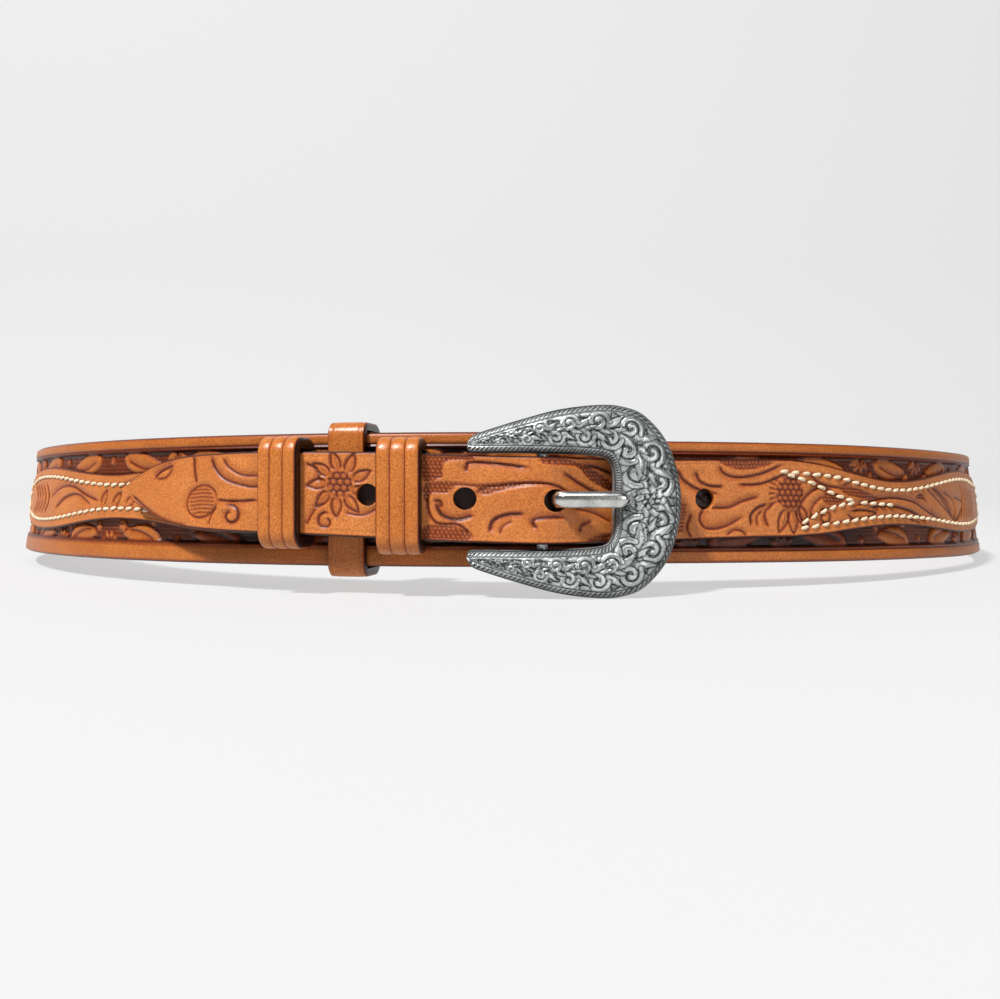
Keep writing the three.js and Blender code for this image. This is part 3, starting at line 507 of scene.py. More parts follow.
def border_leaves(r, start, edge):
    """Leaves, buds and fans that grow from one border of the field towards its middle."""
    for at, turn in ((0, 1), (50, -1)):
        base = np.array([start + at, 13.4 * edge])
        angle = -edge * 0.34 if turn > 0 else math.pi + edge * 0.34
        r.raised(petal(base, angle, 19, 7.4, 0.2 * edge * turn), 0.12, 0.3)
        vein = [base + (x * turn, y * edge) for x, y in ((3, -1.2), (9, -3.4), (15, -4.2))]
        r.stroke(vein, 0.3, 0.34, 1.5, edge * turn)
    for angle in (0.7, 1.35, 2.0, 2.6):
        base = np.array([start + 25, 14.6 * edge])
        r.raised(petal(base, -edge * angle, 5.6, 2.7), 0.02, 0.2)
    for at, up, radius in ((18.5, 8.6, 1.9), (31.5, 8.4, 2.2), (56, 12.4, 1.5)):
        r.raised(ring((start + at, edge * up), radius, 19), 0, 0.24)
        r.cut(spiral((start + at, edge * up), 0.75 * radius, 0.8, 1.0, edge, 0.3), 0.25, 0.26, 0.6)


def middle_flower(r, centre, side):
    """A round flower in the middle of the field with a leaf at each side."""
    for k in range(8):
        angle = 2 * math.pi * k / 8
        r.raised(petal(centre + 2.2 * towards(angle), angle, 4.6, 3.4, 0.1), 0.02, 0.2)
    r.raised(ring(centre, 2.1, 19), -0.1, 0.1)
    for turn in (1, -1):
        start = centre + (8.2 * turn, 0.6 * side)
        angle = 0.2 * side if turn > 0 else math.pi - 0.2 * side
        r.raised(petal(start, angle, 9.5, 4.4, 0.2 * side * turn), 0, 0.2)


def carve_field():
    """One repeat of the wide strap's field: leaves and buds from both borders, flowers in the middle."""
    half = BELT_WIDTH / 2
    r = Relief((-8, -half), (FIELD_TILE + 8, half), 0.22, -0.75)
    for shift in (-FIELD_TILE, 0, FIELD_TILE):
        for edge, start in ((1, shift), (-1, shift + FIELD_TILE / 2)):
            border_leaves(r, start, edge)
        for at, side in ((15.5, 1), (46.5, -1)):
            middle_flower(r, np.array([shift + at, -2.0 * side]), side)
    r.mat_down(1.15, 0.28)
    return r


# ---------------------------------------------------------------- meshes
def signed_volume(points, quads):
    p = points[quads]
    one = np.einsum("ij,ij->i", p[:, 0], np.cross(p[:, 1], p[:, 2]))
    two = np.einsum("ij,ij->i", p[:, 0], np.cross(p[:, 2], p[:, 3]))
    return (one + two).sum()


def placed(name, data):
    made = bpy.data.objects.new(name, data)
    bpy.context.scene.collection.objects.link(made)
    return made


def make_object(name, points, faces, dark, material, sharp=50.0):
    mesh = bpy.data.meshes.new(name)
    mesh.from_pydata(points.tolist(), [], faces)
    mesh.update()
    layer = mesh.attributes.new("dark", "FLOAT", "POINT")
    layer.data.foreach_set("value", np.asarray(dark, np.float32))
    mesh.polygons.foreach_set("use_smooth", [True] * len(mesh.polygons))
    mesh.set_sharp_from_angle(angle=math.radians(sharp))
    mesh.materials.append(material)
    return placed(name, mesh)


def skin(points, dark, closed_run=False):
    """Faces over a grid of stations by section points; the section is always closed."""
    n, m = points.shape[:2]
    index = np.arange(n * m).reshape(n, m)
    after = np.roll(index, -1, 0) if closed_run else index[1:]
    here = index if closed_run else index[:-1]
    quads = np.stack([here, np.roll(here, -1, 1), np.roll(after, -1, 1), after], -1).reshape(-1, 4)
    flat = points.reshape(-1, 3)
    centred = flat - flat.mean(0)
    faces = quads.tolist()
    caps = [] if closed_run else [index[0][::-1].tolist(), index[-1].tolist()]
    if signed_volume(centred, quads) < 0:
        faces = [face[::-1] for face in faces]
        caps = [cap[::-1] for cap in caps]
    return flat, faces + caps, np.asarray(dark).reshape(-1)


def finished(piece, node):
    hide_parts(node)
    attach(piece, "root")
    return piece


def shade(height, scale):
    """How much dark colour stays in a hollow of that depth."""
    return np.clip(-height / scale, 0, 1)


def edge_fall(edge, drop, radius):
    """How far a rounded edge lies below its face."""
    return -drop * (1 - np.sqrt(np.clip(1 - np.clip(1 - edge / radius, 0, 1) ** 2, 0, 1)))


# ---------------------------------------------------------------- materials
def node_material(name):
    material = bpy.data.materials.new(name)
    material.use_nodes = True
    return material, material.node_tree, material.node_tree.nodes["Principled BSDF"]


def feed(tree, socket, value):
    """A link where the value is a socket, else the value itself."""
    if hasattr(value, "links"):
        tree.links.new(value, socket)
    else:
        socket.default_value = value


def add(tree, kind, **inputs):
    node = tree.nodes.new(kind)
    for key, value in inputs.items():
        feed(tree, node.inputs[key], value)
    return node


def noise(tree, scale, detail, roughness):
    """Clouds over the object's own place."""
    place = tree.nodes.new("ShaderNodeTexCoord").outputs["Object"]
    node = add(tree, "ShaderNodeTexNoise", Vector=place, Scale=scale, Detail=detail, Roughness=roughness)
    return node.outputs["Fac"]


def painted_dark(tree):
    node = tree.nodes.new("ShaderNodeAttribute")
    node.attribute_name = "dark"
    return node.outputs["Fac"]


def ramp(tree, source, *stops):
    """Colour stops as (place, colour), the colour a triple or one grey."""
    node = tree.nodes.new("ShaderNodeValToRGB")
    while len(node.color_ramp.elements) < len(stops):
        node.color_ramp.elements.new(0.5)
    for element, (at, colour) in zip(node.color_ramp.elements, stops):
        element.position = at
        element.color = (*colour, 1) if isinstance(colour, tuple) else (colour, colour, colour, 1)
    tree.links.new(source, node.inputs["Fac"])
    return node.outputs["Color"]


def mix(tree, factor, first, second, blend="MIX"):
    node = tree.nodes.new("ShaderNodeMix")
    node.data_type = "RGBA"
    node.blend_type = blend
    for place, value in ((0, factor), (6, first), (7, second)):
        feed(tree, node.inputs[place], value)
    return node.outputs[2]


def scaled(tree, source, factor, plus):
    """source * factor + plus."""
    node = tree.nodes.new("ShaderNodeMath")
    node.operation = "MULTIPLY_ADD"
    for socket, value in zip(node.inputs, (source, factor, plus)):
        feed(tree, socket, value)
    return node.outputs[0]


def bumped(tree, height, strength, distance):
    node = add(tree, "ShaderNodeBump", Strength=strength, Distance=distance, Height=height)
    return node.outputs["Normal"]


# Colours for the painted dark layer, which holds antiquing and painted shade; the deepest values go near
# black.
DEEP_STAIN_AND_SHADE = (0.014, 0.004, 0.002)
STAIN_AND_SHADE_STOPS = ((0, 1), (0.3, (0.74, 0.58, 0.5)), (0.6, (0.33, 0.17, 0.12)), (1, (0.07, 0.025, 0.02)))


def leather(name, light, middle, roughness):
    """Oiled leather with speckles and pores; antiquing and painted shade darken it where the mesh is painted
    dark.
    """
    material, tree, shader = node_material(name)
    dark = painted_dark(tree)
    clouds = noise(tree, 70, 6, 0.62)
    fine = noise(tree, 2300, 3, 0.65)
    place = tree.nodes.new("ShaderNodeTexCoord").outputs["Object"]
    pores = add(tree, "ShaderNodeTexVoronoi", Vector=place, Scale=2600)
    tanned = mix(tree, 0.35, ramp(tree, clouds, (0.3, middle), (0.68, light)), (*light, 1))
    colour = mix(tree, 1.0, tanned, ramp(tree, dark, *STAIN_AND_SHADE_STOPS), "MULTIPLY")
    speckle = ramp(tree, fine, (0.36, (0.58, 0.5, 0.44)), (0.62, 1.2))
    colour = mix(tree, 0.85, colour, speckle, "MULTIPLY")
    colour = mix(tree, ramp(tree, dark, (0.88, 0), (1.0, 1)), colour, (*DEEP_STAIN_AND_SHADE, 1))
    feed(tree, shader.inputs["Base Color"], colour)
    feed(tree, shader.inputs["Roughness"], scaled(tree, clouds, 0.22, roughness - 0.1))
    feed(tree, shader.inputs["Specular IOR Level"], 0.34)
    height = scaled(tree, pores.outputs["Distance"], 0.4, fine)
    feed(tree, shader.inputs["Normal"], bumped(tree, height, 0.12, 0.0004))
    return material


def silver(name, bright, patina_and_shade_colour, roughness, fleckiness):
    """White metal, worn and flecked; it is blackened with patina, and darkened with painted shade, where the
    mesh is painted dark.
    """
    material, tree, shader = node_material(name)
    dark = painted_dark(tree)
    worn = ramp(tree, noise(tree, 160, 5, 0.6), (0.32, tuple(0.5 * c for c in bright)), (0.66, bright))
    fleck = ramp(tree, noise(tree, 1150, 2, 0.5), (0.56, 0), (0.66, fleckiness))
    worn = mix(tree, fleck, worn, (*patina_and_shade_colour, 1))
    feed(tree, shader.inputs["Base Color"], mix(tree, dark, worn, (*patina_and_shade_colour, 1)))
    feed(tree, shader.inputs["Metallic"], scaled(tree, dark, -0.75, 1.0))
    feed(tree, shader.inputs["Roughness"], scaled(tree, dark, 0.4, roughness))
    feed(tree, shader.inputs["Normal"], bumped(tree, noise(tree, 1800, 3, 0.7), 0.06, 0.0003))
    return material


def waxed_thread():
    material, tree, shader = node_material("waxed_thread")
    colour = ramp(tree, noise(tree, 1400, 3, 0.6), (0.3, (0.5, 0.36, 0.21)), (0.65, (0.82, 0.69, 0.5)))
    feed(tree, shader.inputs["Base Color"], colour)
    feed(tree, shader.inputs["Roughness"], 0.7)
    return material


BELT_LEATHER = leather("belt_leather", (0.5, 0.165, 0.03), (0.34, 0.094, 0.016), 0.4)
BILLET_LEATHER = leather("billet_leather", (0.55, 0.185, 0.042), (0.4, 0.112, 0.022), 0.44)
KEEPER_LEATHER = leather("keeper_leather", (0.5, 0.165, 0.034), (0.37, 0.1, 0.018), 0.3)
ANTIQUE_SILVER = silver("antique_silver", (0.86, 0.9, 0.9), (0.008, 0.01, 0.01), 0.26, 0.5)
POLISHED_SILVER = silver("polished_silver", (0.78, 0.79, 0.76), (0.05, 0.05, 0.05), 0.24, 0.08)
THREAD = waxed_thread()


# ---------------------------------------------------------------- wide strap
BELT_RUN = table(
    "along out width lift sill",
    (BELT_OUTER_END + 18, -BELT_STEP, 0.932, -0.022, 0.35),
    (BELT_OUTER_END + 48, -BELT_STEP / 2, 0.938, -0.024, 0.35),
    (BELT_OUTER_END + 78, 0, 0.944, -0.028, 0.35),
    (BELT_OUTER_END + 118, 0, 0.952, -0.036, 0.35),
    (BELT_OUTER_END + 158, 0, 0.965, -0.044, 0.35),
    (BELT_OUTER_END + 208, 0, 0.98, -0.036, 0.35),
    (BELT_OUTER_END + 308, 0, 1, 0, 0.35),
    (LOOP_LENGTH / 2, 0, 1, 0, 0),
    (0.75 * LOOP_LENGTH, 0, 1, 0, 1),
    (LOOP_LENGTH, 0, 1, 0, 1),
)


def spread(start, end, spacing):
    """Even places from start to end, about that far apart."""
    return np.linspace(start, end, max(2, int(round(abs(end - start) / spacing)) + 1))


def joined_places(*parts):
    """Runs of places one after the other, without doubled ends."""
    places = np.concatenate(parts)
    return places[np.concatenate([[True], np.diff(places) > 1e-6])]


FINE_REACH = 290.0  # how far round from the front the wide strap's mesh is fine


def belt_body():
    """The wide strap: plain rounded borders and a sunk field with the repeated carving."""
    relief = carve_field()
    fine_end, fine_from = FINE_REACH, LOOP_LENGTH - FINE_REACH
    along = joined_places(
        spread(BELT_INNER_END, 40, 2.0),
        spread(40, fine_end, 0.6),
        spread(fine_end, fine_from, 1.6),
        spread(fine_from, LOOP_LENGTH - 100, 0.55),
        spread(LOOP_LENGTH - 100, LOOP_LENGTH + BELT_OUTER_END, 1.2),
    )
    half = BELT_WIDTH / 2
    across = np.linspace(-half, half, 69)
    back = np.array([half - 0.3, half / 3, -half / 3, -half + 0.3])
    width = follow(BELT_RUN, "width", along)[:, None]
    lift = (follow(BELT_RUN, "lift", along) * BELT_WIDTH)[:, None]
    sill = follow(BELT_RUN, "sill", along)[:, None] * BELT_SILL
    out = follow(BELT_RUN, "out", along)[:, None]
    u = np.broadcast_to(across, (len(along), len(across)))
    top_in = half - u
    low_in = half + u
    edge = np.minimum(top_in, low_in)
    field = np.minimum(top_in - BELT_BORDER, low_in - BELT_BORDER - sill)
    step = smoothstep(field, -0.3, 0.5)
    tile = np.mod(along, 2 * FIELD_TILE)
    turned = tile > FIELD_TILE
    local = np.where(turned, tile - FIELD_TILE, tile)[:, None]
    spot = np.broadcast_to(local, u.shape), np.where(turned[:, None], -u, u)
    carved, stain_and_shade = np.minimum(relief.at(*spot), 0.12), relief.at(*spot, relief.stain_and_shade)
    crown = 0.16 * np.sin(math.pi * np.clip(edge / BELT_BORDER, 0, 1))
    rounding = edge_fall(edge, 0.9, 0.9)
    groove = -0.3 * np.exp(-(((field + 0.9) / 0.28) ** 2))
    height = (1 - step) * (crown * 0.5 + rounding + groove) + step * (-BELT_FIELD_DEPTH + 0.22 + carved)
    top = on_loop(along[:, None], out + height, u * width + lift)
    behind = on_loop(
        along[:, None],
        out - BELT_THICK + np.zeros((1, len(back))),
        np.broadcast_to(back, (len(along), 4)) * width + lift,
    )
    points = np.concatenate([top, behind], 1)
    burnt = smoothstep(-edge, -0.8, -0.2)
    dark = (1 - step) * np.maximum(0.1 + 1.2 * shade(groove, 0.5), burnt)
    # Painted shade: the field behind the last hole is painted dark, so the hole reads as shade.
    painted_shade_under_hole = np.exp(-(((along - HOLE_AT_TONGUE - HOLES[-1] * HOLE_PITCH) / 5) ** 8))[:, None]
    dark += step * np.clip(0.05 + 1.2 * stain_and_shade + painted_shade_under_hole * (np.abs(u) < 6), 0, 1)
    # The step where the field meets the borders is darkened, partly as antiquing gathered there and partly as
    # painted shade in that corner.
    dark += 0.7 * np.exp(-((field / 0.5) ** 2))
    # Painted shadow: the field is painted darker for about 8 mm below the long strap's lower edge, where the
    # strap's shadow falls.
    from_front = np.where(along > LOOP_LENGTH / 2, along - LOOP_LENGTH, along)
    strap_shadow_span = smoothstep(from_front, LONG_TIP + 10, LONG_TIP + 30) * smoothstep(-from_front, -135, -105)
    strap_low = (lift_of("long", from_front) - BILLET_WIDTH / 2 * long_width(from_front))[:, None]
    dark += 0.55 * step * strap_shadow_span[:, None] * smoothstep(u * width + lift - strap_low, -8, -1) * (u < 0)
    # The back of the wide strap is painted a little dark, as painted shade.
    dark = np.concatenate([np.clip(dark, 0, 1), np.full((len(along), 4), 0.3)], 1)
    made = make_object("belt_body_leather", *skin(points, dark), BELT_LEATHER)
    return finished(made, "belt_body")


# ---------------------------------------------------------------- narrow straps
SCALLOP = table(
    "along width",
    (0, 0.3), (0.025, 0.52), (0.07, 0.72), (0.14, 0.85), (0.22, 0.9), (0.3, 0.9), (0.38, 0.85),
    (0.46, 0.76), (0.54, 0.67), (0.62, 0.61), (0.69, 0.6), (0.76, 0.66), (0.84, 0.78), (0.92, 0.92), (1, 1),
)
POINT = table(
    "along width",
    (0, 0.13), (0.04, 0.28), (0.12, 0.48), (0.22, 0.69), (0.32, 0.82), (0.43, 0.91), (0.7, 0.98), (1, 1),
)
LIFT = table(
    "along long short width",
    (SHORT_END, 0.13, 0.01, 1),
    (SHORT_END + 0.7 * SCALLOP_LENGTH, 0.13, 0.04, 1),
    (LONG_TIP, 0.13, 0.045, 0.97),
    (0.8 * LONG_TIP, 0.1, 0.06, 0.96),
    (RIDGED_LEFT["at"], 0.08, 0.08, 0.97),
    (RIDGED_RIGHT["at"], 0.042, 0.042, 1),
    (0.6 * RIDGED_RIGHT["at"], 0.02, 0.02, 1),
    (BAR_AT, -0.012, -0.012, 1),
    (FRAME_AT + FRAME_LENGTH / 2, -0.004, 0, 0.98),
    (LONG_END - SCALLOP_LENGTH, 0.015, 0, 0.97),
    (LONG_END - 0.67 * SCALLOP_LENGTH, -0.047, 0, 0.99),
    (LONG_END - 0.35 * SCALLOP_LENGTH, -0.027, 0, 1),
    (LONG_END, -0.034, 0, 1),
)
FRAME_INSIDE = FRAME_AT + 0.08 * FRAME_LENGTH
LONG_RUN = table(
    "along out",
    (LONG_TIP, 0.46 * LONG_LEVEL),
    (0.82 * LONG_TIP, 0.67 * LONG_LEVEL),
    (0.7 * LONG_TIP, 0.93 * LONG_LEVEL),
    (0.64 * LONG_TIP, LONG_LEVEL),
    (RIDGED_LEFT["at"], LONG_LEVEL),
    (RIDGED_RIGHT["at"], LONG_LEVEL),
    (RIDGED_RIGHT["at"] + RIDGED_RIGHT["width"], LONG_LEVEL),
    (BAR_AT - 8, LONG_LEVEL + 0.4 * (LONG_OVER_BAR - LONG_LEVEL)),
    (BAR_AT - 1.5, LONG_OVER_BAR),
    (BAR_AT + 3, LONG_OVER_BAR - 0.2),
    (FRAME_INSIDE, LONG_UNDER_FRAME),
    (FRAME_INSIDE + 5, LONG_UNDER_FRAME - 1.8),
    (BELT_OUTER_END + 6, 0.6 - BELT_FIELD_DEPTH + GAP),
    (BELT_OUTER_END + 16, ON_FIELD - 0.75 * BELT_STEP),
)
LONG_REST = BELT_OUTER_END + 24
RISE_FROM = SHORT_END + SCALLOP_LENGTH
SHORT_RISE = table("along out", (0, 0), (0.25, 0.1), (0.5, 0.5), (0.75, 0.9), (1, 1))


def scallop_width(from_tip):
    return follow(SCALLOP, "width", np.asarray(from_tip) / SCALLOP_LENGTH)


def skived(from_tip):
    return SKIVED_SHARE + (1 - SKIVED_SHARE) * smoothstep(from_tip, 0, SCALLOP_LENGTH)


def lift_of(strap, along):
    return follow(LIFT, strap, along) * BILLET_WIDTH


def long_out(along):
    on_belt = follow(BELT_RUN, "out", along) + ON_FIELD
    hung = follow(LONG_RUN, "out", along)
    share = smoothstep(along, LONG_REST - 10, LONG_REST)
    return hung * (1 - share) + on_belt * share


def long_width(along):
    point = follow(POINT, "width", (along - LONG_TIP) / LONG_POINT)
    return np.minimum(point, scallop_width(LONG_END - along)) * follow(LIFT, "width", along)


def short_out(along):
    share = follow(SHORT_RISE, "out", (along - RISE_FROM) / (SHORT_RETURN_END - 3 - RISE_FROM))
    return ON_FIELD + share * (BAR_OUT + GAP / 2 - ON_FIELD)


def short_width(along):
    return scallop_width(along - SHORT_END) * follow(LIFT, "width", along)


def strap_skin(along, out, lift, width, thick, relief, columns, carved_until=None):
    """A strap along stations: carved face, rounded edges and plain back."""
    run = np.stack([np.gradient(along), np.gradient(out)], 1)
    run /= np.linalg.norm(run, axis=1, keepdims=True)
    share = np.linspace(-1, 1, columns)
    half = BILLET_WIDTH / 2 * width
    u = share[None, :] * half[:, None]
    edge = half[:, None] - np.abs(u)
    rounding = edge_fall(edge, 0.7, 0.8)
    spot = np.broadcast_to(along[:, None], u.shape), u
    shown = np.ones(len(along)) if carved_until is None else (along < carved_until).astype(float)
    carved = relief.at(*spot) * shown[:, None] * smoothstep(edge, 0.3, 1.2)
    crease = -0.22 * np.exp(-(((edge - 1.5) / 0.3) ** 2))
    carved = np.minimum(carved, 0.5 * crease)
    stain_and_shade = relief.at(*spot, relief.stain_and_shade) * shown[:, None]
    depth = thick[:, None] + rounding + carved
    back = np.array([0.96, -0.96])
    back_u = back[None, :] * half[:, None]
    all_u = np.concatenate([u, back_u], 1)
    all_depth = np.concatenate([depth, np.zeros_like(back_u)], 1)
    place = along[:, None] - run[:, 1:2] * all_depth
    points = on_loop(place, out[:, None] + run[:, 0:1] * all_depth, all_u + lift[:, None])
    burnt = smoothstep(-edge, -0.8, -0.25)
    dark = np.maximum(stain_and_shade * smoothstep(edge, 0.2, 0.9), burnt)
    # The back of the strap is painted a little dark, as painted shade.
    dark = np.concatenate([dark, np.full(back_u.shape, 0.35)], 1)
    return points, dark


def edge_row(strap, width, side, places, inset):
    """A row of stitches that keeps its distance from a strap's edge."""
    half = BILLET_WIDTH / 2 * width(np.array(places, float)) - inset
    return list(zip(places, lift_of(strap, places) + side * half))


def long_stitch_rows():
    places = [104, 114, 124, 134, 146, 160, 176, 192, 208]
    return [
        [(84, 8.4), *edge_row("long", long_width, 1, places, 3.0)],
        [(91, -8.6), *edge_row("long", long_width, -1, places, 2.9)],
        [(86.5, 7.6), (96, 4.8), (104.5, 1.4), (112, -0.6)],
        [(91.5, -7.2), (98, -4.2), (105, -2.0), (112.5, -0.9)],
        [(114.5, -0.9), (122, -1.3), (131, -1.8)],
        [(212.5, 6.2), (215.6, 0), (212.5, -6.6)],
    ]


def short_stitch_rows():
    places = [-207, -194, -180, -166, -152, -140, -128, -118, -112]
    return [
        edge_row("short", short_width, 1, places, 3.4),
        edge_row("short", short_width, -1, places, 3.4),
        [(-209, 6.2), (-212, 0), (-209, -6.2)],
    ]


def stitch_grooves(relief, strap, rows):
    """The pressed line in which each row of stitches lies."""
    for row in rows:
        path = rounded(row)
        path[:, 1] -= lift_of(strap, path[:, 0])
        relief.cut(path, 0.3, 0.42, 0.6)


def billet_long():
    relief = carve_long()
    stitch_grooves(relief, "long", long_stitch_rows())
    along = joined_places(
        LONG_TIP + np.array([0, 0.3, 0.8, 1.4]),
        spread(LONG_TIP + 2, -13, 0.42),
        spread(-13, 190, 0.42),
        spread(190, LONG_END - 2, 0.8),
        LONG_END - np.array([1.4, 0.8, 0.3, 0]),
    )
    thick = LONG_THICK * skived(LONG_END - along)
    lift, width = lift_of("long", along), long_width(along)
    points, dark = strap_skin(along, long_out(along), lift, width, thick, relief, 66)
    made = make_object("billet_long_leather", *skin(points, dark), BILLET_LEATHER)
    cut_holes(made)
    return finished(made, "billet_long")


PIN_SIDES = 40
PIN_REACH = 5


def hole_pins():
    """Pins that cut the holes, their faces painted near black as shade in the holes."""
    points, faces, dark = [], [], []
    for turns in HOLES:
        at = HOLE_AT_TONGUE + turns * HOLE_PITCH
        middle = float(long_out(np.array([at]))[0]) + LONG_THICK / 2
        outline = ring((at, lift_of("long", at)), HOLE_RADIUS, PIN_SIDES)
        rings = [on_loop(outline[:, 0], middle + depth, outline[:, 1]) for depth in (-PIN_REACH, PIN_REACH)]
        flat, quads, shades = skin(np.stack(rings), np.full((2, PIN_SIDES), 0.99))
        faces.extend([[v + len(points) for v in face] for face in quads])
        points.extend(flat.tolist())
        dark.extend(shades.tolist())
    return make_object("hole_pins", np.array(points), faces, dark, BILLET_LEATHER)


def cut_holes(target):
    pins = hole_pins()
    modifier = target.modifiers.new("holes", "BOOLEAN")
    modifier.operation = "DIFFERENCE"
    modifier.solver = "EXACT"
    modifier.object = pins
    depsgraph = bpy.context.evaluated_depsgraph_get()
    mesh = bpy.data.meshes.new_from_object(target.evaluated_get(depsgraph))
    target.modifiers.clear()
    target.data = mesh
    bpy.data.objects.remove(pins)


SHORT_CARVED_UNTIL = -95.0
SHORT_PAINTED_SHADE_FROM = -84.0


def billet_short():
    """The short strap: over the belt, round the bar and back under itself, with painted shade where it is
    hidden.
    """
    relief = carve_short()
    stitch_grooves(relief, "short", short_stitch_rows())
    along = joined_places(
        SHORT_END + np.array([0, 0.3, 0.8, 1.4]),
        spread(SHORT_END + 2, -185, 0.8),
        spread(-185, -112, 0.5),
        spread(-112, BAR_AT - 10, 1.5),
    )
    thick = SHORT_THICK * skived(along - SHORT_END)
    layer = [along, short_out(along), lift_of("short", along), short_width(along), thick]
    turn = np.linspace(math.radians(120), -math.radians(120), 25)
    fold = [(-3.4, 0.25), (-1.7, 0.72)]
    bend = [(a * FOLD_INSIDE, o * FOLD_INSIDE) for a, o in fold]
    bend += [(FOLD_INSIDE * math.cos(t), FOLD_INSIDE * math.sin(t)) for t in turn]
    bend += [(a * FOLD_INSIDE, -o * FOLD_INSIDE) for a, o in fold[::-1]]
    bend = np.array(bend)
    under = spread(BAR_AT - 10, SHORT_RETURN_END, 3.0)
    whole = [
        np.concatenate([layer[0], BAR_AT + bend[:, 0], under]),
        np.concatenate([layer[1], BAR_OUT + bend[:, 1], np.full(len(under), BAR_OUT - GAP / 2)]),
        np.concatenate([layer[2], np.full(len(bend), lift_of("short", BAR_AT)), lift_of("short", under)]),
        np.concatenate([layer[3], np.ones(len(bend)), follow(LIFT, "width", under)]),
        np.concatenate([layer[4], np.full(len(bend) + len(under), SHORT_THICK)]),
    ]
    points, dark = strap_skin(*whole, relief, 48, SHORT_CARVED_UNTIL)
    # Painted shade: the part hidden under the long strap is painted dark, so the holes read as shade.
    dark = np.maximum(dark, smoothstep(whole[0], SHORT_PAINTED_SHADE_FROM, SHORT_PAINTED_SHADE_FROM + 6)[:, None])
    made = make_object("billet_short_leather", *skin(points, dark), BILLET_LEATHER)
    return finished(made, "billet_short")


# ---------------------------------------------------------------- stitches
STITCH_PITCH, STITCH_LONG, STITCH_THICK = 3.9, 3.0, 1.1


def stitch_shape():
    """A small capsule, 1 long and 1 thick."""
    rings, sides = 7, 8
    t = np.linspace(-1, 1, rings)
    radius = 0.5 * np.sqrt(np.clip(1.04 - np.abs(t) ** 3.2, 0.04, 1))
    angle = np.linspace(0, 2 * math.pi, sides, endpoint=False)
    x = np.repeat(t * 0.5, sides)
    y = (radius[:, None] * np.cos(angle)).ravel()
    z = (radius[:, None] * np.sin(angle)).ravel()
    return np.stack([x, y, z], 1), rings, sides


def stitches(name, rows, surface):
    """Stitches along rows given as (along, up) points; surface(along) is the face's out."""
    shape, rings, sides = stitch_shape()
    points, faces, dark = [], [], []
    for row in rows:
        path = rounded(row, steps=16)
        arcs = np.concatenate([[0], np.cumsum(np.hypot(*np.diff(path, axis=0).T))])
        count = max(1, int(round(arcs[-1] / STITCH_PITCH)))
        for k in range(count):
            centre = (k + 0.5) * arcs[-1] / count
            at, ahead, back = (
                [np.interp(centre + step, arcs, path[:, c]) for c in (0, 1)] for step in (0, 0.3, -0.3)
            )
            angle = math.atan2(ahead[1] - back[1], ahead[0] - back[0]) + 0.16 + rng.normal(0, 0.05)
            length = STITCH_LONG * (1 + rng.normal(0, 0.05))
            x, y = shape[:, 0] * length, shape[:, 1] * STITCH_THICK
            z = shape[:, 2] * STITCH_THICK * 0.8
            along = at[0] + x * math.cos(angle) - y * math.sin(angle)
            up = at[1] + x * math.sin(angle) + y * math.cos(angle)
            out = surface(np.full(len(x), at[0])) + z + 0.12 - 0.55 * (2 * np.abs(shape[:, 0])) ** 3
            start = len(points)
            points.extend(on_loop(along, out, up).tolist())
            index = np.arange(rings * sides).reshape(rings, sides) + start
            turned = np.roll(index, -1, 1)
            quads = np.stack([index[:-1], index[1:], turned[1:], turned[:-1]], -1).reshape(-1, 4)
            faces += [*quads.tolist(), index[0].tolist(), index[-1][::-1].tolist()]
            dark.extend([0.0] * len(x))
    made = make_object(name, np.array(points), faces, dark, THREAD)
    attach(made, "root")
    return made


def all_stitches():
    def face(along):
        return long_out(along) + LONG_THICK * skived(LONG_END - along)

    def short_face(along):
        return short_out(along) + SHORT_THICK * skived(along - SHORT_END)

    stitches("stitches_right", long_stitch_rows(), face)
    stitches("stitches_left", short_stitch_rows(), short_face)


# ---------------------------------------------------------------- keepers
CORNERS = ((1, 1), (-1, 1), (-1, -1), (1, -1))


